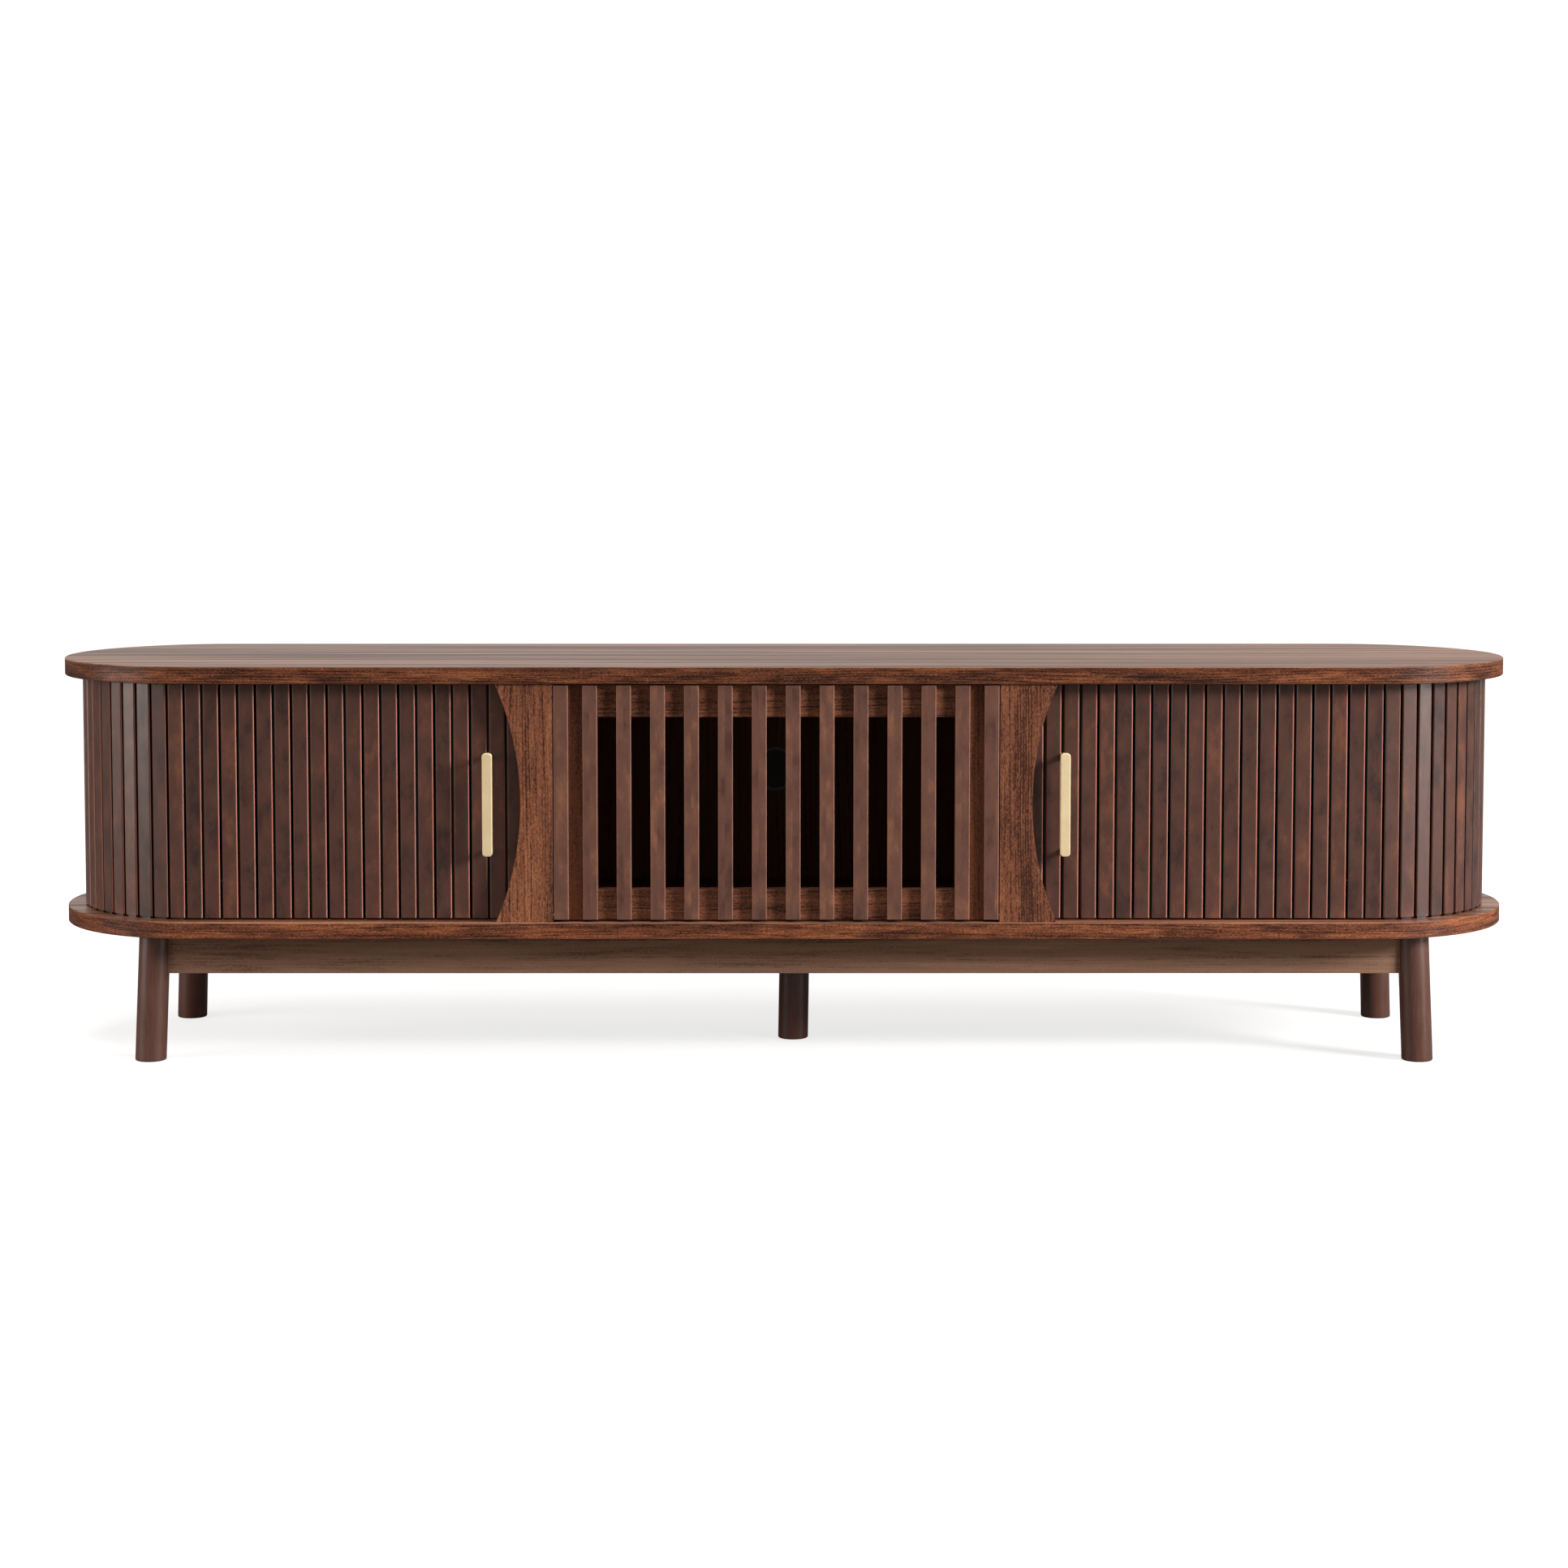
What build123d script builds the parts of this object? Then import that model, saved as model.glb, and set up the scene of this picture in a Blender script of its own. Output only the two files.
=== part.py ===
from build123d import *

import os
from math import ceil, cos, degrees, floor, pi, sin

# Media cabinet with two tambour doors and a drop-down slatted centre flap, in millimetres.
# Origin: centre of the footprint, on the floor. +X right, front faces -Y, +Z up.

# ---- overall ----
LENGTH = 2000.0             # end to end over the boards
DEPTH = 426.0               # front to back over the boards, also twice the end radius
HEIGHT = 540.0              # floor to top surface
LEG_HEIGHT = 173.6          # floor to the underside of the base board
SECTION_X = -10.4           # middle section's centre line, left of the boards' centre

# ---- boards and panels ----
TOP_THICK = 23.1
BASE_THICK = 22.7
PANEL_THICK = 18.0          # partitions, end walls, aprons
LINER_THICK = 6.0           # false backs in front of the tambours' return path
BACK_THICK = 4.0
BACK_INSET = 0.5            # back panel behind the boards' rear edge
ARRIS = 1.0                 # eased edges of the boards
EASE = 0.6                  # eased edges of the grille slats and the catch

# ---- tambour doors ----
TRACK_INSET = 24.3          # boards' edge to the slats' outer face
SLAT_PITCH = 24.01
SLAT_GAP = 3.4
SLAT_THICK = 8.0
SLAT_BEVEL = 1.4
SLAT_TAPER = 0.97           # inner width over outer width
BACKING_THICK = 1.0         # canvas that the slats are glued to
SLAT_LIFT = 2.4             # slats' ends clear of the boards
BACKING_LIFT = 0.3          # the canvas runs closer to the boards than the slats
TONGUE_THICK = 4.0
TONGUE_WIDTH = 14.0
TONGUE_IN_GROOVE = 4.0
GROOVE_DEPTH = 5.0
GROOVE_WIDTH = 5.5
DOOR_TRAVEL = 360.0         # in whole slats, and less where the straight run is too short for it
FOLLOW_GROUPS = 8           # rigid groups between the leading group and the round end
TAIL_PAST = 2.3             # closed door's rear edge past the end of the round end
EDGE_CLEAR = 15.0           # door's leading edge to the partition, at least
TAIL_GROUPS = 4             # rigid groups on the return path

# ---- door pulls ----
HANDLE_WIDTH = 13.3
HANDLE_LONG = 139.0
HANDLE_THICK = 8.0
HANDLE_CORNER = 4.6         # rounded corners of the bar's outline
HANDLE_EASE = 1.2           # rounded front edge
HANDLE_HOLES = 128.0
HANDLE_STAND = 16.0         # finger gap behind the bar
HANDLE_DROP = 1.9           # bar's middle below the slats' middle
HANDLE_TO_PANEL = 11.0      # handle's centre line outboard of the concave panel's corner
POST_R = 4.0
HOLE_CLEAR = 0.3            # posts and screws in the slats and the batten
BATTEN_WIDTH = 44.0
BATTEN_THICK = 14.0
SCREW_R = 2.0
SCREW_HEAD_R = 4.0
SCREW_HEAD = 2.5
SCREW_IN_POST = 12.0

# ---- middle section ----
FRONT_INSET = 4.0           # concave panels' face behind the boards' front edge
FRONT_CLEAR = 2.3           # concave panels' back to the slats' outer face
PANEL_INNER = 299.4         # section centre to the concave panels' straight edge
PANEL_CORNER = 375.8        # section centre to their outer corners
PANEL_APEX = 342.6          # section centre to the deepest point of the curve
FLAP_SIDE_CLEAR = 1.4
FLAP_LIFT = 1.7
FLAP_TOP_CLEAR = 2.0
FRAME_THICK = 18.0
STILE_WIDTH = 58.6
RAIL_HEIGHT = 43.0
LOW_RAIL_HEIGHT = 41.5
BAR_WIDTH = 19.6            # grille slats
BAR_THICK = 10.0
BARS_BETWEEN = 12           # grille slats from one stile's inner edge to the other's
BAR_LIFT = 1.8
PIVOT_IN = 5.0              # flap pivot behind the grille slats' face
PIVOT_UP = 5.2              # flap pivot above the grille slats' ends
PIVOT_R = 2.5
PIVOT_LONG = 24.0
PIVOT_CLEAR = 0.06

# ---- latch ----
CATCH_WIDTH = 40.0
CATCH_DEEP = 22.0
CATCH_HIGH = 14.0
STRIKE_THICK = 1.0
STRIKE_HIGH = 12.0
CATCH_GAP = 0.3

# ---- inside ----
WALL_TO_END = 42.0          # end walls' inner face to the start of the round end
WALL_CLEAR = 29.7           # end walls and shelves to the canvas
LINER_CLEAR = 30.7          # false backs to the canvas on its return path
SHELF_THICK = 15.0
SHELF_GAP = 0.5
SHELF_PIN_R = 2.5
SHELF_PIN_LONG = 18.0
SHELF_PIN_Y = 110.0
SCREW_LONG = 50.0
SCREW_CORE_R = 2.5
CARCASS_HEAD_R = 5.0
CARCASS_HEAD = 3.0
CARCASS_SCREW_Y = 90.0

# ---- cable outlet ----
OUTLET_X = -12.2
OUTLET_R = 30.0
FLANGE_R = 32.6
FLANGE_THICK = 2.0
SLEEVE_WALL = 2.5
LEDGE_WIDTH = 3.0
CAP_THICK = 4.0
CAP_CLEAR = 0.2
CAP_GRIP_R = 9.0
CAP_GRIP_DEEP = 1.2

# ---- legs and aprons ----
LEG_R = 21.0
LEG_PAST_END = 67.8         # legs' top centres past the start of the round ends
LEG_SIDE_INSET = 61.5       # boards' front and rear edges to the legs' top centres
SPLAY_X = 6.7               # foot centres outside the top centres
SPLAY_Y = 7.0
CENTRE_FOOT_X = 12.7
CENTRE_TOP_X = 15.4
FOOT_EASE = 2.0
APRON_HIGH = 55.0
APRON_FACE = 8.5            # apron's face in front of the legs' top centres
APRON_TO_LEG = 0.1
BOLT_R = 4.0
BOLT_IN_BASE = 18.0
BOLT_IN_LEG = 30.0

# ---- worked out from the sizes above ----
END_R = DEPTH / 2
END_X = LENGTH / 2 - END_R
BASE_TOP = LEG_HEIGHT + BASE_THICK
TOP_UNDER = HEIGHT - TOP_THICK
INNER_HIGH = TOP_UNDER - BASE_TOP
MID_Z = (BASE_TOP + TOP_UNDER) / 2
HANDLE_Z = MID_Z - HANDLE_DROP
TRACK_R = END_R - TRACK_INSET
ARC_LONG = pi * TRACK_R
BACKING_IN = SLAT_THICK + BACKING_THICK
FACE_Y = -(END_R - FRONT_INSET)
FRAME_Y = FACE_Y + BAR_THICK
FRONT_THICK = TRACK_INSET - FRONT_INSET - FRONT_CLEAR
FLAP_HALF = PANEL_INNER - FLAP_SIDE_CLEAR
OPENING_HALF = FLAP_HALF - STILE_WIDTH
FLAP_Z0 = BASE_TOP + FLAP_LIFT
FLAP_Z1 = TOP_UNDER - FLAP_TOP_CLEAR
BAR_Z0 = FLAP_Z0 + BAR_LIFT
PIVOT_Y = FACE_Y + PIVOT_IN
PIVOT_Z = BAR_Z0 + PIVOT_UP
BACK_Y = END_R - BACK_INSET - BACK_THICK
PARTITION_IN = PANEL_INNER
WALL_X = END_X - WALL_TO_END
WALL_HALF_DEPTH = TRACK_R - BACKING_IN - WALL_CLEAR
LINER_Y = TRACK_R - BACKING_IN - LINER_CLEAR - LINER_THICK
LEG_TOP_X = END_X + LEG_PAST_END
LEG_TOP_Y = DEPTH / 2 - LEG_SIDE_INSET
FOOT_X = LEG_TOP_X + SPLAY_X
FOOT_Y = LEG_TOP_Y + SPLAY_Y
SHELF_Z = MID_Z - SHELF_THICK / 2
WIDE = 2 * LENGTH           # longer than anything in the model

# ---- slat counts: boundary n of a door lies at path length FIRST + n * SLAT_PITCH ----
N_ROUND = floor(ARC_LONG / SLAT_PITCH)
FIRST = ARC_LONG + TAIL_PAST - N_ROUND * SLAT_PITCH


def handle_x(side):
    """Handle's centre line, as a distance from the boards' centre."""
    return side * SECTION_X + PANEL_CORNER + HANDLE_TO_PANEL


def slats_beyond(x):
    """Whole slats of a door between a distance from the boards' centre and the round end."""
    return floor((END_X + FIRST - x) / SLAT_PITCH)


def spare_slats(side):
    """Slats that may leave the straight run while the handle's batten stays on it."""
    return slats_beyond(handle_x(side) + BATTEN_WIDTH / 2) - 1


N_TRAVEL = min(round(DOOR_TRAVEL / SLAT_PITCH), spare_slats(-1), spare_slats(1))
TRAVEL = N_TRAVEL * SLAT_PITCH
N_FOLLOW = N_TRAVEL + 1
N_STAY = round((ARC_LONG - TRAVEL - FIRST) / SLAT_PITCH)


def block(x, y, z):
    """Box between pairs of limits along X, Y and Z."""
    size = Box(abs(x[1] - x[0]), abs(y[1] - y[0]), abs(z[1] - z[0]))
    return Pos(sum(x) / 2, sum(y) / 2, sum(z) / 2) * size


def rod(start, end, radius):
    """Round bar from one point to another."""
    way = Vector(*end) - Vector(*start)
    return Plane(origin=start, z_dir=way) * Cylinder(
        radius, way.length, align=(Align.CENTER, Align.CENTER, Align.MIN)
    )


def solids_of(*shapes):
    """Every separate solid of the shapes given."""
    return [solid for shape in shapes for solid in shape.solids()]


def save(name, *shapes):
    """Write one sub-part as a group of its solids."""
    export_step(Compound(children=solids_of(*shapes)), f"parts/{name}.step")


def sided(shape, side):
    """The shape as drawn for the right-hand side, or its mirror image for the left."""
    return shape if side > 0 else mirror(shape, about=Plane.YZ)


# ---------------------------------------------------------------- boards


def stadium(radius, z0, z1):
    """Straight-sided board with round ends, centred on the boards' centre."""
    outline = SlotCenterToCenter(2 * END_X, 2 * radius)
    return Pos(0, 0, z0) * extrude(outline, z1 - z0)


def groove_start(side):
    """Distance from the boards' centre at which a door's groove begins."""
    return lead_edge(side) - GROOVE_WIDTH


def groove(z0, z1):
    """Both doors' guide grooves, open only over the door's own stretch of track."""
    centre = TRACK_R - SLAT_THICK / 2
    ring = stadium(centre + GROOVE_WIDTH / 2, z0, z1) - stadium(centre - GROOVE_WIDTH / 2, z0, z1)
    middle = block((-groove_start(-1), groove_start(1)), (-DEPTH, DEPTH), (z0, z1))
    return ring - middle


def board(z0, z1):
    """Top or base board with eased edges."""
    plain = stadium(END_R, z0, z1)
    rims = plain.edges().filter_by(lambda edge: abs(edge.center().Z - (z0 + z1) / 2) > ARRIS)
    return chamfer(rims, ARRIS)


def make_top():
    """Top board with the upper guide grooves."""
    return board(TOP_UNDER, HEIGHT) - groove(TOP_UNDER, TOP_UNDER + GROOVE_DEPTH)


def screw_places():
    """Points under the base board where a carcass screw goes up into a wall."""
    walls = [SECTION_X - PARTITION_IN - PANEL_THICK / 2, SECTION_X + PARTITION_IN + PANEL_THICK / 2]
    walls += [-(WALL_X + PANEL_THICK / 2), WALL_X + PANEL_THICK / 2]
    return [(x, y) for x in walls for y in (-CARCASS_SCREW_Y, CARCASS_SCREW_Y)]


def carcass_screw(x, y):
    """Countersunk-in-counterbore screw, flush with the base board's underside."""
    head = rod((x, y, LEG_HEIGHT), (x, y, LEG_HEIGHT + CARCASS_HEAD), CARCASS_HEAD_R)
    return head + rod((x, y, LEG_HEIGHT), (x, y, LEG_HEIGHT + SCREW_LONG), SCREW_CORE_R)


def make_base(screws, bolts):
    """Base board with the lower guide grooves and its screw and bolt holes."""
    shape = board(LEG_HEIGHT, BASE_TOP) - groove(BASE_TOP - GROOVE_DEPTH, BASE_TOP)
    return shape - screws - bolts


# ---------------------------------------------------------------- tambour doors


def track(s):
    """Place on the slats' outer face, s along the path from the start of the round end."""
    if s < 0:
        return Location((END_X + s, -TRACK_R, 0), (0, 0, 0))
    angle = s / TRACK_R
    return Location((END_X + TRACK_R * sin(angle), -TRACK_R * cos(angle), 0), (0, 0, degrees(angle)))


def partition_face(side):
    """Outer face of a partition, as a distance from the boards' centre."""
    return side * SECTION_X + PARTITION_IN + PANEL_THICK


def lead_count(side):
    """Slats in a door's leading group, as many as fit beside the partition."""
    return slats_beyond(partition_face(side) + EDGE_CLEAR) - N_FOLLOW


def lead_edge(side):
    """Door's leading edge when closed, as a distance from the boards' centre."""
    return END_X + FIRST - (N_FOLLOW + lead_count(side)) * SLAT_PITCH


def slat(tongues):
    """One slat in its own frame: outer face on y = 0, running inwards along +Y."""
    half = (SLAT_PITCH - SLAT_GAP) / 2
    outline = Polyline(
        (SLAT_BEVEL - half, 0),
        (half - SLAT_BEVEL, 0),
        (half, SLAT_BEVEL),
        (half * SLAT_TAPER, SLAT_THICK),
        (-half * SLAT_TAPER, SLAT_THICK),
        (-half, SLAT_BEVEL),
        close=True,
    )
    bar = extrude(make_face(outline), INNER_HIGH - 2 * SLAT_LIFT)
    bar = Pos(0, 0, BASE_TOP + SLAT_LIFT) * bar
    if not tongues:
        return bar
    middle = SLAT_THICK / 2
    across = (-TONGUE_WIDTH / 2, TONGUE_WIDTH / 2)
    deep = (middle - TONGUE_THICK / 2, middle + TONGUE_THICK / 2)
    return bar + block(across, deep, (BASE_TOP - TONGUE_IN_GROOVE, TOP_UNDER + TONGUE_IN_GROOVE))


def backing(first, count):
    """Canvas behind a group of slats, one flat facet behind each slat."""
    edge = (SLAT_PITCH - SLAT_GAP) / 2 * SLAT_TAPER
    facets = []
    for n in range(count):
        low = -edge if n == 0 else -SLAT_PITCH / 2
        high = edge if n == count - 1 else SLAT_PITCH / 2
        z = (BASE_TOP + BACKING_LIFT, TOP_UNDER - BACKING_LIFT)
        facets.append(slat_place(first + n) * block((low, high), (SLAT_THICK, BACKING_IN), z))
    joined = facets[0]
    for facet in facets[1:]:
        joined = joined + facet
    return joined


def slat_place(n):
    """Place of slat n of a door, counted from the start of the round end."""
    return track(FIRST + (n + 0.5) * SLAT_PITCH)


def group(first, count, tongues=False):
    """Rigid group of slats with its canvas."""
    return [slat_place(first + n) * slat(tongues) for n in range(count)] + [backing(first, count)]


def follow_groups():
    """First slat and number of slats of each group between the leading group and the round end."""
    starts = [n * N_FOLLOW // FOLLOW_GROUPS - N_FOLLOW for n in range(FOLLOW_GROUPS + 1)]
    return [(start, end - start) for start, end in zip(starts, starts[1:])]


def tail_groups():
    """First slat and number of slats of each group between the round end and the return path."""
    count = N_ROUND - N_STAY
    starts = [N_STAY + ceil(n * count / TAIL_GROUPS) for n in range(TAIL_GROUPS + 1)]
    return [(start, end - start) for start, end in zip(starts, starts[1:])]


def handle_heights():
    """Heights of a handle's two posts."""
    return (HANDLE_Z - HANDLE_HOLES / 2, HANDLE_Z + HANDLE_HOLES / 2)


def make_handle(side):
    """Flat bar pull with rounded corners and two posts, each with its machine screw."""
    x = handle_x(side)
    front = -(TRACK_R + HANDLE_STAND + HANDLE_THICK)
    outline = Plane.XZ * RectangleRounded(HANDLE_WIDTH, HANDLE_LONG, HANDLE_CORNER)
    bar = extrude(outline, -HANDLE_THICK)
    bar = fillet(bar.faces().sort_by(Axis.Y)[0].edges(), HANDLE_EASE)
    bar = Pos(x, front, HANDLE_Z) * bar
    seat = -(TRACK_R - BACKING_IN)
    back = seat + BATTEN_THICK
    screws = []
    for z in handle_heights():
        post = rod((x, front + HANDLE_THICK / 2, z), (x, seat, z), POST_R)
        stem = rod((x, seat - SCREW_IN_POST, z), (x, back + SCREW_HEAD, z), SCREW_R)
        screws.append(stem + rod((x, back, z), (x, back + SCREW_HEAD, z), SCREW_HEAD_R))
        bar = bar + post - stem
    return [sided(piece, side) for piece in [bar] + screws]


def make_batten(side):
    """Stiffening batten behind the leading slats, which the handle is screwed to."""
    x = handle_x(side)
    seat = -(TRACK_R - BACKING_IN)
    half = BATTEN_WIDTH / 2
    z = (BASE_TOP + SLAT_LIFT, TOP_UNDER - SLAT_LIFT)
    batten = block((x - half, x + half), (seat, seat + BATTEN_THICK), z)
    for height in handle_heights():
        batten = batten - rod((x, seat, height), (x, seat + BATTEN_THICK, height), SCREW_R + HOLE_CLEAR)
    return sided(batten, side)


def make_lead(side):
    """Leading group, with holes or notches where the handle's posts pass."""
    count = lead_count(side)
    pieces = group(-N_FOLLOW - count, count, tongues=True)
    x = handle_x(side)
    posts = [rod((x, -END_R, z), (x, 0, z), POST_R + HOLE_CLEAR) for z in handle_heights()]
    return [sided(piece - posts, side) for piece in pieces]


def save_door(side, name):
    """Write one tambour door: leading group, handle, batten and the groups that follow it."""
    save(f"door_{name}_lead_slats", *make_lead(side))
    save(f"door_{name}_batten", make_batten(side))
    save(f"door_{name}_handle", *make_handle(side))
    for number, (start, count) in enumerate(follow_groups()):
        pieces = group(start, count)
        save(f"door_{name}_pair_{number + 1}", *[sided(piece, side) for piece in pieces])
    pieces = group(0, N_STAY, tongues=True)
    save(f"door_{name}_round_slats", *[sided(piece, side) for piece in pieces])
    for number, (start, count) in enumerate(tail_groups()):
        pieces = group(start, count)
        save(f"door_{name}_tail_{number + 1}", *[sided(piece, side) for piece in pieces])


# ---------------------------------------------------------------- walls and shelves


def inner_wall(x, holes):
    """Wall of an end compartment, from the base board to the top board."""
    wall = block((x, x + PANEL_THICK), (-WALL_HALF_DEPTH, WALL_HALF_DEPTH), (BASE_TOP, TOP_UNDER))
    return wall - holes


def partition(side, holes):
    """Partition between the middle section and an end compartment."""
    x = SECTION_X + side * PARTITION_IN
    wall = block((x, x + side * PANEL_THICK), (FACE_Y + FRONT_THICK, BACK_Y), (BASE_TOP, TOP_UNDER))
    return wall - holes


def shelf(side):
    """Shelf of an end compartment, resting on its pins."""
    inner = side * partition_face(side) + side * SHELF_GAP
    outer = side * (WALL_X - SHELF_GAP)
    low_y = -WALL_HALF_DEPTH
    return block((inner, outer), (low_y, LINER_Y - SHELF_GAP), (SHELF_Z, SHELF_Z + SHELF_THICK))


def shelf_pins():
    """Pins under the shelves, half of each in a wall."""
    pins = []
    reach = SHELF_PIN_LONG / 2
    for side in (-1, 1):
        for x in (side * partition_face(side), side * WALL_X):
            for y in (-SHELF_PIN_Y, SHELF_PIN_Y):
                z = SHELF_Z - SHELF_PIN_R
                pins.append(rod((x - reach, y, z), (x + reach, y, z), SHELF_PIN_R))
    return pins


def liner(side):
    """False back between an end compartment and the tambour's return path."""
    inner = side * partition_face(side)
    return block((inner, side * WALL_X), (LINER_Y, LINER_Y + LINER_THICK), (BASE_TOP, TOP_UNDER))


def concave_panel(side):
    """Fixed front panel whose outer edge is a shallow arc."""
    inner = (PANEL_INNER, BASE_TOP)
    edge = Polyline((PANEL_CORNER, BASE_TOP), inner, (PANEL_INNER, TOP_UNDER), (PANEL_CORNER, TOP_UNDER))
    arc = ThreePointArc((PANEL_CORNER, TOP_UNDER), (PANEL_APEX, MID_Z), (PANEL_CORNER, BASE_TOP))
    face = make_face([*edge.edges(), arc])
    panel = Pos(0, FACE_Y, 0) * extrude(Plane.XZ * face, -FRONT_THICK)
    return Pos(SECTION_X, 0, 0) * sided(panel, side)


# ---------------------------------------------------------------- drop-down flap


def stiles():
    """Upright members of the flap's frame."""
    pieces = []
    for side in (-1, 1):
        x = (SECTION_X + side * OPENING_HALF, SECTION_X + side * FLAP_HALF)
        pieces.append(block(x, (FRAME_Y, FRAME_Y + FRAME_THICK), (FLAP_Z0, FLAP_Z1)))
    return pieces


def rails():
    """Cross members between the stiles."""
    x = (SECTION_X - OPENING_HALF, SECTION_X + OPENING_HALF)
    y = (FRAME_Y, FRAME_Y + FRAME_THICK)
    return [
        block(x, y, (FLAP_Z0, FLAP_Z0 + LOW_RAIL_HEIGHT)),
        block(x, y, (FLAP_Z1 - RAIL_HEIGHT, FLAP_Z1)),
    ]


def bar_centres():
    """Centres of the grille slats: one flush with each outer edge, the rest evenly between."""
    outer = FLAP_HALF - BAR_WIDTH / 2
    inner = OPENING_HALF + BAR_WIDTH / 2
    step = 2 * inner / (BARS_BETWEEN - 1)
    return [-outer] + [-inner + n * step for n in range(BARS_BETWEEN)] + [outer]


def grille_bars(pins):
    """Vertical slats on the front of the flap; the outer two carry the pivots."""
    bars = []
    for centre in bar_centres():
        x = SECTION_X + centre
        bar = block((x - BAR_WIDTH / 2, x + BAR_WIDTH / 2), (FACE_Y, FRAME_Y), (BAR_Z0, FLAP_Z1))
        uprights = bar.edges().filter_by(Axis.Z).sort_by(Axis.Y)[:2]
        bars.append(chamfer(uprights, EASE) - pins)
    return bars


def pivot_pins(radius):
    """Pins that the flap turns on, half in the concave panels and half in the outer slats."""
    pins = []
    for side in (-1, 1):
        x = SECTION_X + side * (PANEL_INNER - BAR_WIDTH / 2)
        pins.append(rod((x, PIVOT_Y, PIVOT_Z), (x + side * PIVOT_LONG, PIVOT_Y, PIVOT_Z), radius))
    return pins


def strike():
    """Steel plate on the back of the flap's top rail."""
    y = FRAME_Y + FRAME_THICK
    top = TOP_UNDER - CATCH_GAP - FLAP_TOP_CLEAR
    x = (SECTION_X - CATCH_WIDTH / 2, SECTION_X + CATCH_WIDTH / 2)
    return block(x, (y, y + STRIKE_THICK), (top - STRIKE_HIGH, top))


def catch():
    """Magnetic catch under the top board, just behind the strike plate."""
    y = FRAME_Y + FRAME_THICK + STRIKE_THICK + CATCH_GAP
    x = (SECTION_X - CATCH_WIDTH / 2, SECTION_X + CATCH_WIDTH / 2)
    body = block(x, (y, y + CATCH_DEEP), (TOP_UNDER - CATCH_HIGH, TOP_UNDER))
    return chamfer(body.edges().filter_by(Axis.X).group_by(Axis.Z)[0], EASE)


# ---------------------------------------------------------------- cable outlet


def ring(outer, inner, y0, y1):
    """Round collar on the cable outlet's axis."""
    return outlet_disc(outer, y0, y1) - outlet_disc(inner, y0, y1)


def outlet_disc(radius, y0, y1):
    """Round disc on the cable outlet's axis."""
    return rod((OUTLET_X, y0, MID_Z), (OUTLET_X, y1, MID_Z), radius)


def grommet():
    """Grommet with a front flange, a sleeve through the panel and a ledge for the cap."""
    front = BACK_Y - FLANGE_THICK
    back = BACK_Y + BACK_THICK
    hole = OUTLET_R - SLEEVE_WALL
    flange = ring(FLANGE_R, hole, front, BACK_Y)
    sleeve = ring(OUTLET_R, hole, BACK_Y, back)
    ledge = ring(hole, hole - LEDGE_WIDTH, front + CAP_THICK + CAP_CLEAR, back)
    return flange + sleeve + ledge


def cable_cap():
    """Round cap that turns in the grommet, with a shallow finger dimple."""
    front = BACK_Y - FLANGE_THICK
    cap = outlet_disc(OUTLET_R - SLEEVE_WALL - CAP_CLEAR, front, front + CAP_THICK)
    return cap - outlet_disc(CAP_GRIP_R, front, front + CAP_GRIP_DEEP)


def back_panel():
    """Back panel between the boards, with the hole for the grommet."""
    panel = block((-END_X, END_X), (BACK_Y, BACK_Y + BACK_THICK), (BASE_TOP, TOP_UNDER))
    return panel - outlet_disc(OUTLET_R, BACK_Y, BACK_Y + BACK_THICK)


# ---------------------------------------------------------------- legs and aprons


def leg(foot, top, radius=LEG_R):
    """Round splayed leg, cut level at the floor and under the base board."""
    foot = Vector(*foot, 0)
    top = Vector(*top, LEG_HEIGHT)
    way = (top - foot).normalized() * (2 * LEG_R)
    long_leg = rod(tuple(foot - way), tuple(top + way), radius)
    level = block((-WIDE, WIDE), (-WIDE, WIDE), (0, LEG_HEIGHT))
    return long_leg & level


def eased(shape):
    """Leg with its bottom edge rounded."""
    rim = shape.faces().sort_by(Axis.Z)[0].edges()
    return fillet(rim, FOOT_EASE)


def leg_spots():
    """Foot and top points of the legs, by name."""
    spots = {}
    for x_name, x in (("left", -1), ("right", 1)):
        for y_name, y in (("front", -1), ("back", 1)):
            foot = (x * FOOT_X, y * FOOT_Y)
            spots[f"leg_{y_name}_{x_name}"] = (foot, (x * LEG_TOP_X, y * LEG_TOP_Y))
    spots["leg_centre"] = ((CENTRE_FOOT_X, 0), (CENTRE_TOP_X, 0))
    return spots


def leg_bolts():
    """Hanger bolts, half in each leg and half in the base board."""
    z0 = LEG_HEIGHT - BOLT_IN_LEG
    z1 = LEG_HEIGHT + BOLT_IN_BASE
    return [rod((*top, z0), (*top, z1), BOLT_R) for _, top in leg_spots().values()]


def aprons():
    """Apron rails between the four corner legs, cut back to the legs' round sides."""
    z = (LEG_HEIGHT - APRON_HIGH, LEG_HEIGHT)
    face = LEG_TOP_Y + APRON_FACE
    inner = face - PANEL_THICK
    end_face = LEG_TOP_X + APRON_FACE
    end_inner = end_face - PANEL_THICK
    pieces = []
    for side in (-1, 1):
        pieces.append(block((-end_inner, end_inner), (side * face, side * inner), z))
        pieces.append(block((side * end_face, side * end_inner), (-inner, inner), z))
    room = [leg(*spot, radius=LEG_R + APRON_TO_LEG) for spot in leg_spots().values()]
    cut = [piece - room for piece in pieces]
    return [max(piece.solids(), key=lambda solid: solid.volume) for piece in cut]


# ---------------------------------------------------------------- write the parts


os.makedirs("parts", exist_ok=True)

screws = [carcass_screw(x, y) for x, y in screw_places()]
bolts = leg_bolts()
save("base_fixings", *screws, *bolts)
save("top_board", make_top())
save("base_board", make_base(screws, bolts))

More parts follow.
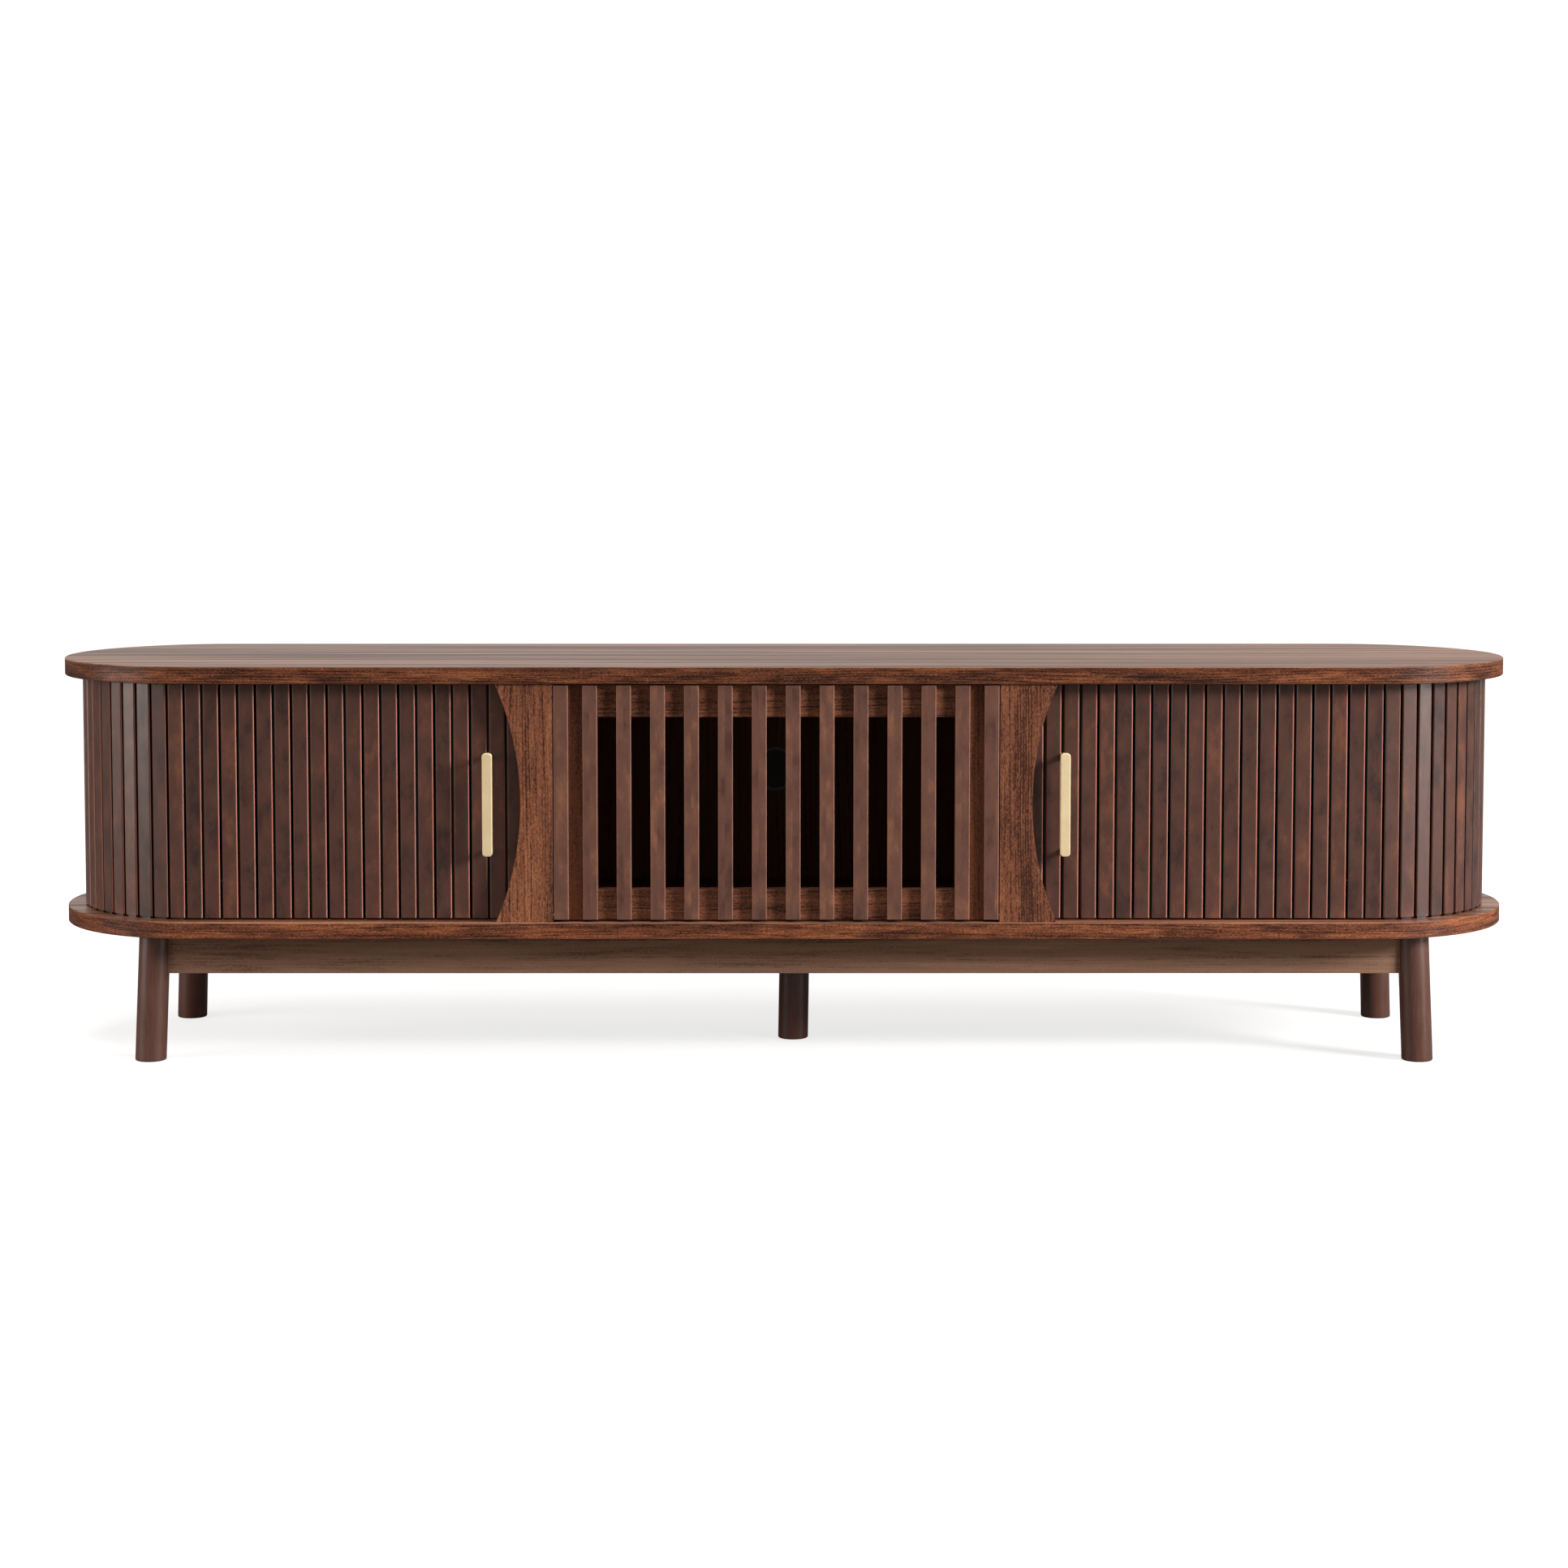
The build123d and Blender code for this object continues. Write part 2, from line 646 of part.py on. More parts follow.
pins = shelf_pins()
save("shelf_pins", *pins)
for side, name in ((-1, "left"), (1, "right")):
    wall_x = WALL_X if side > 0 else -WALL_X - PANEL_THICK
    pivot_holes = pivot_pins(PIVOT_R)
    save(f"partition_{name}", partition(side, pins + screws))
    save(f"end_wall_{name}", inner_wall(wall_x, pins + screws))
    save(f"shelf_{name}", shelf(side))
    save(f"front_panel_{name}", concave_panel(side) - pivot_holes)
    save_door(side, name)
save("liner_backs", liner(-1), liner(1))

save("flap_stiles", *stiles())
save("flap_rails", *rails())
save("flap_slats", *grille_bars(pivot_pins(PIVOT_R + PIVOT_CLEAR)))
save("flap_pivot_pins", *pivot_pins(PIVOT_R))
save("flap_strike_plate", strike())
save("magnet_catch", catch())

save("back_panel", back_panel())
save("cable_grommet", grommet())
save("cable_cap", cable_cap())

for name, (foot, top) in leg_spots().items():
    save(name, eased(leg(foot, top)) - bolts)
save("apron_rails", *aprons())
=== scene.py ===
import logging
import math
from dataclasses import dataclass, field
from enum import Enum
from typing import Any

import bpy
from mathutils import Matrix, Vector


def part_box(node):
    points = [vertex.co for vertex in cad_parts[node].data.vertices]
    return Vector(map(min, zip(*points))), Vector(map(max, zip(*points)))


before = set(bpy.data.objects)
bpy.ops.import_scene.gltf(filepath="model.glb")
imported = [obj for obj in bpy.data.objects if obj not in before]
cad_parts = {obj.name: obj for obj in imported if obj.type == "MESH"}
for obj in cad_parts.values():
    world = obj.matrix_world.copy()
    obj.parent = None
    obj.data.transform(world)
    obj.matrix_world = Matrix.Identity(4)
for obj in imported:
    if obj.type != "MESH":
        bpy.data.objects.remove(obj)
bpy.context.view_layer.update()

LOG = logging.getLogger("media_cabinet")

Colour = tuple[float, float, float]  # red, green and blue from 0 to 255
Tint = tuple[float, float, float]  # red, green and blue from 0 to 1, on the linear scale
Place = tuple[float, float, float]
Range = tuple[float, float]
Socket = bpy.types.NodeSocket
Source = Any  # a node socket, or a plain value for an input

WHITE: Tint = (1.0, 1.0, 1.0)
AVERAGE = 0.5  # of a noise's values
MOST_OF_NOISE: Range = (0.3, 0.7)  # where most of a noise's values lie
MIX_SHARE, MIX_FIRST, MIX_SECOND, MIX_RESULT = 0, 6, 7, 2  # colour sockets of a Mix node


def mm(value: float) -> float:
    """Millimetres as metres."""
    return value / 1000.0


def paint(red: float, green: float, blue: float) -> tuple[float, float, float, float]:
    """Colour-card values as linear RGBA.

    Args:
        red, green, blue: the three channels, from 0 to 255.

    Returns:
        The opaque colour on the linear scale.
    """

    def linear(channel: float) -> float:
        """One channel carried through the sRGB curve."""
        share = channel / 255.0
        return share / 12.92 if share <= 0.04045 else ((share + 0.055) / 1.055) ** 2.4

    return (linear(red), linear(green), linear(blue), 1.0)


def three(finish: Any) -> dict[str, Source]:
    """Paints of a finish's dark, middle and light colour, by the name of the input they go to."""
    return {name.title(): paint(*getattr(finish, name)) for name in ("dark", "middle", "light")}


def toned(colour: Colour, share: float) -> tuple[float, float, float, float]:
    """Paint with every colour-card value multiplied by a share."""
    return paint(*[share * part for part in colour])


class Grain(Enum):
    """Which way a veneer's grain runs on a piece."""

    ALONG_X = "x"
    UPRIGHT = "z"


# ------------------------------------------------------------------ wiring


@dataclass(frozen=True)
class Noise:
    """Settings of a Noise Texture. A pull below 1 draws the noise out along that axis."""

    scale: float
    detail: float
    roughness: float
    pull: Place = (1.0, 1.0, 1.0)


class Wiring:
    """Short ways to place and join nodes in one node tree."""

    def __init__(self, tree: bpy.types.NodeTree) -> None:
        """Keep the tree that the nodes go into."""
        self.tree = tree

    def add(self, kind: str, inputs: dict[Any, Source] | None = None, **settings: Any) -> bpy.types.Node:
        """Place a node.

        Args:
            kind: Blender's name of the node type.
            inputs: values or sockets, by input name or number.
            settings: properties of the node.

        Returns:
            The new node.
        """
        node = self.tree.nodes.new(kind)
        for name, value in settings.items():
            setattr(node, name, value)
        for key, value in (inputs or {}).items():
            self.feed(node.inputs[key], value)
        return node

    def feed(self, socket: Socket, value: Source) -> None:
        """Give an input a value, or join it to an output.

        Args:
            socket: the input.
            value: the plain value, or the output to join.
        """
        if isinstance(value, bpy.types.NodeSocket):
            self.tree.links.new(value, socket)
        else:
            socket.default_value = value

    def place(self, group: bpy.types.NodeTree, inputs: dict[str, Source]) -> bpy.types.Node:
        """Place a shared group with its own values."""
        return self.add("ShaderNodeGroup", inputs, node_tree=group)

    def piece_place(self) -> Socket:
        """Place on the piece in metres, which stays with the piece when it moves."""
        return self.add("ShaderNodeTexCoord").outputs["Object"]

    def math(self, operation: str, first: Source, second: Source = 0.0, third: Source = 0.0) -> Socket:
        """Result of a Math node."""
        inputs = {0: first, 1: second, 2: third}
        return self.add("ShaderNodeMath", inputs, operation=operation).outputs[0]

    def vector(self, operation: str, first: Source, second: Source) -> Socket:
        """Result of a Vector Math node."""
        return self.add("ShaderNodeVectorMath", {0: first, 1: second}, operation=operation).outputs[0]

    def combine(self, x: Source, y: Source, z: Source) -> Socket:
        """Vector made of three numbers."""
        return self.add("ShaderNodeCombineXYZ", {0: x, 1: y, 2: z}).outputs[0]

    def split(self, vector: Source) -> tuple[Socket, Socket, Socket]:
        """The three numbers of a vector."""
        outputs = self.add("ShaderNodeSeparateXYZ", {0: vector}).outputs
        return outputs[0], outputs[1], outputs[2]

    def noise(self, vector: Source, noise: Noise) -> Socket:
        """Value of a Noise Texture.

        Args:
            vector: the place in metres.
            noise: the noise's settings.

        Returns:
            The value, from 0 to 1 and about 0.5 on average.
        """
        pulled = self.vector("MULTIPLY", vector, noise.pull)
        settings = {"Scale": noise.scale, "Detail": noise.detail, "Roughness": noise.roughness}
        return self.add("ShaderNodeTexNoise", {"Vector": pulled, **settings}).outputs["Fac"]

    def own_value(self, number: Source) -> Socket:
        """Value from 0 to 1 that belongs to a whole number."""
        return self.add("ShaderNodeTexWhiteNoise", {"W": number}, noise_dimensions="1D").outputs["Value"]

    def vary(self, total: Source, noise: Socket, share: Source) -> Socket:
        """Total moved up or down by the share of a noise."""
        return self.math("MULTIPLY_ADD", self.math("SUBTRACT", noise, AVERAGE), share, total)

    def fit(
        self, value: Source, low: Source, high: Source, to_low: Source = 0.0, to_high: Source = 1.0
    ) -> Socket:
        """Value carried smoothly from one range to another, and clamped there."""
        inputs = {"Value": value, "From Min": low, "From Max": high, "To Min": to_low, "To Max": to_high}
        return self.add("ShaderNodeMapRange", inputs, interpolation_type="SMOOTHSTEP").outputs[0]

    def between(self, share: Source, at_none: Source, at_full: Source) -> Socket:
        """Value between two ends, by a share from 0 to 1."""
        return self.fit(share, 0.0, 1.0, at_none, at_full)

    def blend(self, share: Source, first: Source, second: Source, mode: str = "MIX") -> Socket:
        """Colour between two colours.

        Args:
            share: share of the second colour.
            first: the first colour.
            second: the second colour.
            mode: how the second colour is laid on the first.

        Returns:
            The mixed colour.
        """
        inputs = {MIX_SHARE: share, MIX_FIRST: first, MIX_SECOND: second}
        return self.add("ShaderNodeMix", inputs, data_type="RGBA", blend_type=mode).outputs[MIX_RESULT]

    def ramp(self, tone: Socket, given: Any, ends: Range) -> Socket:
        """Colour between a group's dark, middle and light colour.

        Args:
            tone: the tone, which is 0.5 at the middle colour.
            given: the group's inputs, among them Dark, Middle and Light.
            ends: the tones at which the colour is all dark and all light.

        Returns:
            The colour.
        """
        low, high = ends
        lower = self.blend(self.fit(tone, low, AVERAGE), given["Dark"], given["Middle"])
        return self.blend(self.fit(tone, AVERAGE, high), lower, given["Light"])


class SharedEffect:
    """A shader node group with named inputs and outputs, built once."""

    def __init__(self, name: str, inputs: dict[str, str], outputs: dict[str, str]) -> None:
        """Make the group and its sockets.

        Args:
            name: the group's name.
            inputs: socket kind, by name.
            outputs: socket kind, by name.
        """
        self.tree = bpy.data.node_groups.new(name, "ShaderNodeTree")
        for side, sockets in (("INPUT", inputs), ("OUTPUT", outputs)):
            for label, kind in sockets.items():
                self.tree.interface.new_socket(label, in_out=side, socket_type="NodeSocket" + kind)
        self.wires = Wiring(self.tree)
        self.given = self.wires.add("NodeGroupInput").outputs
        self.result = self.wires.add("NodeGroupOutput").inputs

    def give(self, **results: Socket) -> None:
        """Join results to the group's outputs, with spaces in their names written as underscores."""
        for name, socket in results.items():
            self.tree.links.new(socket, self.result[name.replace("_", " ")])


# ------------------------------------------------------------------ shared effects

FIGURE_SWAY = Noise(8.0, 1.5, 0.4, pull=(0.22, 1.0, 1.0))
FIGURE_BREAKS = Noise(190.0, 3.0, 0.6, pull=(0.25, 1.0, 1.0))
FIGURE_STREAKS = Noise(210.0, 4.0, 0.6)
FIGURE_BANDS = Noise(60.0, 2.0, 0.5)
FIGURE_FLECKS = Noise(820.0, 3.0, 0.65, pull=(0.36, 1.0, 1.0))
FIGURE_PATCHES = Noise(5.0, 2.0, 0.5, pull=(0.22, 1.0, 1.0))
SWAY_VEINS = 7.0  # vein spacings that the sway moves a vein by
VEIN_FLANK: Range = (0.3, 0.03)  # vein spacings from its middle where a vein begins and is full
VEIN_STRENGTHS: Range = (0.15, 0.9)  # own values at which a vein is missing and full
VEIN_BREAKS: Range = (0.36, 0.6)  # noise values at which a vein is broken and whole
BROKEN_VEIN = 0.1  # what is left of a vein where it is broken
PATCH_SHARE = 0.7
FIGURE_ENDS: Range = (0.08, 0.92)  # tones of the dark and the light colour
FLECK_HEIGHT, VEIN_HEIGHT = 0.7, 0.6
VEIN_DULLNESS = 0.4


def figure_effect() -> bpy.types.NodeTree:
    """Walnut figure: thin dark veins, drawn-out streaks and fine flecks, with its first axis along the grain.

    Returns:
        A group that gives a colour, a height and a gloss mask.
    """
    effect = SharedEffect(
        "walnut_figure",
        {
            "Place": "Vector",
            **dict.fromkeys(("Dark", "Middle", "Light"), "Color"),
            **dict.fromkeys(("Vein Spacing", "Vein Sway", "Vein Share"), "Float"),
            **dict.fromkeys(("Streak Share", "Streak Pull", "Fleck Share"), "Float"),
        },
        {"Color": "Color", "Height": "Float", "Gloss": "Float"},
    )
    w, given = effect.wires, effect.given
    along, across, deep = w.split(given["Place"])
    sway = w.math("MULTIPLY", w.noise(given["Place"], FIGURE_SWAY), given["Vein Sway"])
    turns = w.math("DIVIDE", across, given["Vein Spacing"])
    turns = w.math("ADD", turns, w.math("MULTIPLY", sway, SWAY_VEINS))
    nearest = w.math("ROUND", turns)
    broken = w.noise(w.combine(along, across, nearest), FIGURE_BREAKS)
    vein = w.fit(w.math("PINGPONG", turns, 0.5), *VEIN_FLANK)
    vein = w.math("MULTIPLY", vein, w.fit(w.own_value(nearest), *VEIN_STRENGTHS))
    vein = w.math("MULTIPLY", vein, w.fit(broken, *VEIN_BREAKS, BROKEN_VEIN, 1.0))
    drawn = w.combine(w.math("MULTIPLY", along, given["Streak Pull"]), across, deep)
    bands = w.noise(drawn, FIGURE_BANDS)
    flecks = w.noise(given["Place"], FIGURE_FLECKS)
    tone = w.vary(AVERAGE, w.noise(drawn, FIGURE_STREAKS), given["Streak Share"])
    tone = w.vary(tone, bands, given["Streak Share"])
    tone = w.vary(tone, flecks, given["Fleck Share"])
    tone = w.vary(tone, w.noise(given["Place"], FIGURE_PATCHES), PATCH_SHARE)
    tone = w.math("SUBTRACT", tone, w.math("MULTIPLY", vein, given["Vein Share"]))
    height = w.math("MULTIPLY", flecks, FLECK_HEIGHT)
    height = w.math("SUBTRACT", height, w.math("MULTIPLY", vein, VEIN_HEIGHT))
    gloss = w.math("SUBTRACT", w.fit(bands, *MOST_OF_NOISE), w.math("MULTIPLY", vein, VEIN_DULLNESS))
    effect.give(Color=w.ramp(tone, given, FIGURE_ENDS), Height=height, Gloss=gloss)
    return effect.tree


DOOR_NUMBERS = 53.0  # keeps the slat numbers of the two doors apart


def door_place_effect() -> bpy.types.NodeTree:
    """Place of a point on a tambour door, measured along the curved track.

    Returns:
        A group that gives the distance along the track, the slat's number, the depth behind the slats' outer
        face and, as 0 or 1, which edge of the slat is nearer.
    """
    effect = SharedEffect(
        "door_place",
        dict.fromkeys(("Straight Half", "Round Radius", "First", "Pitch"), "Float"),
        dict.fromkeys(("Along", "Slat", "Depth", "Edge Side"), "Float"),
    )
    w, given = effect.wires, effect.given
    x, y, _ = w.split(w.piece_place())
    past = w.math("SUBTRACT", w.math("ABSOLUTE", x), given["Straight Half"])
    round_past = w.math("MAXIMUM", past, 0.0)
    angle = w.math("ARCTAN2", round_past, w.math("MULTIPLY", y, -1.0))
    bend = w.math("MULTIPLY", angle, given["Round Radius"])
    along = w.math("ADD", w.math("MINIMUM", past, 0.0), bend)
    square = w.math("ADD", w.math("POWER", round_past, 2.0), w.math("POWER", y, 2.0))
    steps = w.math("DIVIDE", w.math("SUBTRACT", along, given["First"]), given["Pitch"])
    door = w.math("SIGN", x)
    off_middle = w.math("SUBTRACT", w.math("FRACT", steps), 0.5)
    effect.give(
        Along=along,
        Slat=w.math("MULTIPLY_ADD", door, DOOR_NUMBERS, w.math("FLOOR", steps)),
        Edge_Side=w.math("GREATER_THAN", w.math("MULTIPLY", off_middle, door), 0.0),
        Depth=w.math("SUBTRACT", given["Round Radius"], w.math("SQRT", square)),
    )
    return effect.tree


STAIN_CLOUDS = Noise(42.0, 4.0, 0.55, pull=(1.0, 1.0, 0.6))
STAIN_WISPS = Noise(130.0, 4.0, 0.6, pull=(1.0, 1.0, 0.14))
STAIN_HAIRS = Noise(900.0, 3.0, 0.6, pull=(1.0, 1.0, 0.2))
SLAT_SHIFT: Place = (1.37, 0.83, 0.71)  # metres that the stain moves on from one slat to the next
WISP_SHARE, HAIR_SHARE = 0.45, 0.5
STAIN_ENDS: Range = (0.1, 0.9)


def cloud_effect() -> bpy.types.NodeTree:
    """Blotchy stain of the slats: soft clouds drawn out up the slat, different on each one.

    Returns:
        A group that gives a colour, a height and a gloss mask.
    """
    effect = SharedEffect(
        "cloudy_stain",
        {
            **dict.fromkeys(("Dark", "Middle", "Light"), "Color"),
            **dict.fromkeys(("Number", "Cloud Share", "Slat Share"), "Float"),
        },
        {"Color": "Color", "Height": "Float", "Gloss": "Float"},
    )
    w, given = effect.wires, effect.given
    number = given["Number"]
    shift = w.vector("MULTIPLY", w.combine(number, number, number), SLAT_SHIFT)
    moved = w.vector("ADD", w.piece_place(), shift)
    wisps = w.noise(moved, STAIN_WISPS)
    hairs = w.noise(moved, STAIN_HAIRS)
    tone = w.vary(AVERAGE, w.noise(moved, STAIN_CLOUDS), given["Cloud Share"])
    tone = w.vary(tone, wisps, WISP_SHARE)
    tone = w.vary(tone, hairs, HAIR_SHARE)
    tone = w.vary(tone, w.own_value(number), given["Slat Share"])
    effect.give(Color=w.ramp(tone, given, STAIN_ENDS), Height=hairs, Gloss=w.fit(wisps, *MOST_OF_NOISE))
    return effect.tree


BEVEL_SAMPLES = 4
EDGE_TURN: Range = (0.995, 0.86)  # cosine between flat and rounded normal, beside an edge and on it
# unevenness of the edge mask, which marks use on most finishes and a painted highlight on the slats
ARRIS_WEAR_AND_HIGHLIGHT = Noise(60.0, 3.0, 0.6)
WEAR_AND_HIGHLIGHT_RANGE: Range = (0.3, 0.65)


def arris_effect() -> bpy.types.NodeTree:
    """Rounded look of edges: a mask that is bright on edges, for edges paled by use and, on the slats, for a
    painted highlight, and a normal that is rounded there.

    Returns:
        A group that gives the mask and the rounded normal.
    """
    effect = SharedEffect(
        "rounded_arris",
        {"Radius": "Float", "Unevenness": "Float"},
        {"Edge": "Float", "Normal": "Vector"},
    )
    w, given = effect.wires, effect.given
    bevel = w.add("ShaderNodeBevel", {"Radius": given["Radius"]}, samples=BEVEL_SAMPLES).outputs[0]
    flat = w.add("ShaderNodeNewGeometry").outputs["True Normal"]
    turn = w.add("ShaderNodeVectorMath", {0: bevel, 1: flat}, operation="DOT_PRODUCT").outputs["Value"]
    least = w.math("SUBTRACT", 1.0, given["Unevenness"])
    uneven = w.fit(w.noise(w.piece_place(), ARRIS_WEAR_AND_HIGHLIGHT), *WEAR_AND_HIGHLIGHT_RANGE, least, 1.0)
    effect.give(Edge=w.math("MULTIPLY", w.fit(turn, *EDGE_TURN), uneven), Normal=bevel)
    return effect.tree


@dataclass
class Effects:
    """The shared node groups that the finishes place in their materials."""

    figure: bpy.types.NodeTree = field(default_factory=figure_effect)
    door_place: bpy.types.NodeTree = field(default_factory=door_place_effect)
    cloud: bpy.types.NodeTree = field(default_factory=cloud_effect)
    arris: bpy.types.NodeTree = field(default_factory=arris_effect)


# ------------------------------------------------------------------ finishes


def new_material(name: str) -> tuple[bpy.types.Material, Wiring, bpy.types.Node]:
    """Empty material with a Principled shader.

    Args:
        name: the material's name.

    Returns:
        The material, the wiring of its tree and its shader node.
    """
    material = bpy.data.materials.new(name)
    material.use_nodes = True
    material.node_tree.nodes.clear()
    wires = Wiring(material.node_tree)
    shader = wires.add("ShaderNodeBsdfPrincipled")
    wires.add("ShaderNodeOutputMaterial", {"Surface": shader.outputs[0]})
    return material, wires, shader


@dataclass(frozen=True)
class Arris:
    """Rounding of a material's edges, and how uneven the pale mark of use on them is; on the slats the same
    mark is a painted highlight.
    """

    radius: float
    unevenness: float

    def place(self, effects: Effects, wires: Wiring) -> bpy.types.Node:
        """Place the arris group with these values."""
        return wires.place(effects.arris, {"Radius": self.radius, "Unevenness": self.unevenness})


@dataclass(frozen=True)
class Relief:
    """Depth and strength of a fine surface texture."""

    distance: float
    strength: float

    def normal(self, wires: Wiring, height: Source, rounded: Source | None = None) -> Socket:
        """Place a Bump node.

        Args:
            wires: the wiring of the material.
            height: the texture's height.
            rounded: a normal that is rounded at the edges.

        Returns:
            The normal with the texture in it.
        """
        inputs = {"Height": height, "Distance": self.distance, "Strength": self.strength}
        if rounded is not None:
            inputs["Normal"] = rounded
        return wires.add("ShaderNodeBump", inputs).outputs[0]


@dataclass(frozen=True)
class Veneer:
    """Lacquered walnut veneer."""

    name: str
    dark: Colour
    middle: Colour
    light: Colour
    grain: Grain
    vein_spacing: float = mm(8.0)
    vein_sway: float = 1.0
    vein_share: float = 0.45
    streak_share: float = 0.7
    streak_pull: float = 0.05
    fleck_share: float = 0.5
    rough_low: float = 0.34
    rough_high: float = 0.46
    specular: float = 0.2
    shift: Place = (0.0, 0.0, 0.0)
    wear_and_highlight: float = 0.35
    arris: Arris = Arris(mm(1.2), 0.5)
    relief: Relief = Relief(mm(0.4), 0.25)

    def place(self, wires: Wiring) -> Socket:
        """Texture place with its first axis along the grain.

        Args:
            wires: the wiring of the material.

        Returns:
            The place in metres.
        """
        x, y, z = wires.split(wires.vector("ADD", wires.piece_place(), self.shift))
        order = {Grain.ALONG_X: (x, z, y), Grain.UPRIGHT: (z, x, y)}[self.grain]
        return wires.combine(*order)

    def figured(self, effects: Effects, wires: Wiring, place: Socket) -> bpy.types.Node:
        """Place the figure group with this veneer's values.

        Args:
            effects: the shared node groups.
            wires: the wiring of the material.
            place: the texture place, with its first axis along the grain.

        Returns:
            The group's node.
        """
        return wires.place(
            effects.figure,
            {
                "Place": place,
                **three(self),
                "Vein Spacing": self.vein_spacing,
                "Vein Sway": self.vein_sway,
                "Vein Share": self.vein_share,
                "Streak Share": self.streak_share,
                "Streak Pull": self.streak_pull,
                "Fleck Share": self.fleck_share,
            },
        )

    def rough(self, wires: Wiring, figure: bpy.types.Node) -> Socket:
        """Roughness that follows the figure's gloss mask."""
        return wires.between(figure.outputs["Gloss"], self.rough_high, self.rough_low)

    def material(self, effects: Effects) -> bpy.types.Material:
        """Build the material.

        Args:
            effects: the shared node groups.

        Returns:
            The finished material.
        """
        material, wires, shader = new_material(self.name)
        figure = self.figured(effects, wires, self.place(wires))
        arris = self.arris.place(effects, wires)
        wear_and_highlight_mask = wires.math("MULTIPLY", arris.outputs["Edge"], self.wear_and_highlight)
        colour = wires.blend(wear_and_highlight_mask, figure.outputs["Color"], paint(*self.light))
        wires.feed(shader.inputs["Base Color"], colour)
        wires.feed(shader.inputs["Roughness"], self.rough(wires, figure))
        shader.inputs["Specular IOR Level"].default_value = self.specular
        normal = self.relief.normal(wires, figure.outputs["Height"], arris.outputs["Normal"])
        wires.feed(shader.inputs["Normal"], normal)
        return material


@dataclass(frozen=True)
class BoardVeneer:
    """Veneered board with stadium outline: quiet faces and a mottled edge, banded in lengths."""

    name: str
    face: Veneer
    edge: Veneer
    straight_half: float
    round_radius: float
    band_length: float = 0.62
    band_start: float = 0.21  # of a band's length
    band_tones: Range = (0.9, 1.08)
    joint_half: float = 0.0012  # of a band's length
    joint_tone: float = 0.72
    edge_tone: float = 1.0
    flat_upness: Range = (0.5, 0.8)  # height of the normal where the edge ends and the face begins
    face_coat: Range = (0.18, 0.3)
    coat_rough: float = 0.3
    wear_and_highlight: float = 0.4
    arris: Arris = Arris(mm(1.6), 0.35)
    relief: Relief = Relief(mm(0.3), 0.2)

    def banded(self, wires: Wiring, run: Socket, colour: Socket) -> Socket:
        """Colour of the edge, with its own tone on each length of banding and a dark joint between two.

        Args:
            wires: the wiring of the material.
            run: the distance round the board's edge.
            colour: the figured colour.

        Returns:
            The toned colour.
        """
        length = wires.math("ADD", wires.math("DIVIDE", run, self.band_length), self.band_start)
        own = wires.own_value(wires.math("FLOOR", length))
        low, high = self.band_tones
        tone = wires.between(own, low * self.edge_tone, high * self.edge_tone)
        joint = wires.fit(wires.math("PINGPONG", length, 0.5), 0.0, self.joint_half, self.joint_tone, 1.0)
        tone = wires.math("MULTIPLY", tone, joint)
        return wires.blend(1.0, colour, wires.combine(tone, tone, tone), "MULTIPLY")

    def material(self, effects: Effects) -> bpy.types.Material:
        """Build the material.

        Args:
            effects: the shared node groups.

        Returns:
            The finished material.
        """
        material, wires, shader = new_material(self.name)
        coords = wires.add("ShaderNodeTexCoord").outputs
        x, _, z = wires.split(coords["Object"])
        outline = {"Straight Half": self.straight_half, "Round Radius": self.round_radius}
        spot = wires.place(effects.door_place, {**outline, "First": 0.0, "Pitch": 1.0})
        run = wires.math("MULTIPLY", spot.outputs["Along"], wires.math("SIGN", x))
        face = self.face.figured(effects, wires, coords["Object"])
        band = self.edge.figured(effects, wires, wires.combine(run, z, 0.0))
        arris = self.arris.place(effects, wires)
        _, _, up = wires.split(coords["Normal"])
        flat = wires.fit(wires.math("ABSOLUTE", up), *self.flat_upness)
        banded = self.banded(wires, run, band.outputs["Color"])
        colour = wires.blend(flat, banded, face.outputs["Color"])
        wear_and_highlight_mask = wires.math("MULTIPLY", arris.outputs["Edge"], self.wear_and_highlight)
        wires.feed(shader.inputs["Base Color"], wires.blend(wear_and_highlight_mask, colour, paint(*self.edge.light)))
        edge_rough = self.edge.rough(wires, band)
        change = wires.math("SUBTRACT", self.face.rough(wires, face), edge_rough)
        wires.feed(shader.inputs["Roughness"], wires.math("MULTIPLY_ADD", flat, change, edge_rough))
        sheen = wires.between(face.outputs["Gloss"], *self.face_coat)
        wires.feed(shader.inputs["Coat Weight"], wires.math("MULTIPLY", flat, sheen))
        shader.inputs["Coat Roughness"].default_value = self.coat_rough
        shader.inputs["Specular IOR Level"].default_value = self.face.specular
        height = wires.math("ADD", band.outputs["Height"], face.outputs["Height"])
        wires.feed(shader.inputs["Normal"], self.relief.normal(wires, height, arris.outputs["Normal"]))
        return material


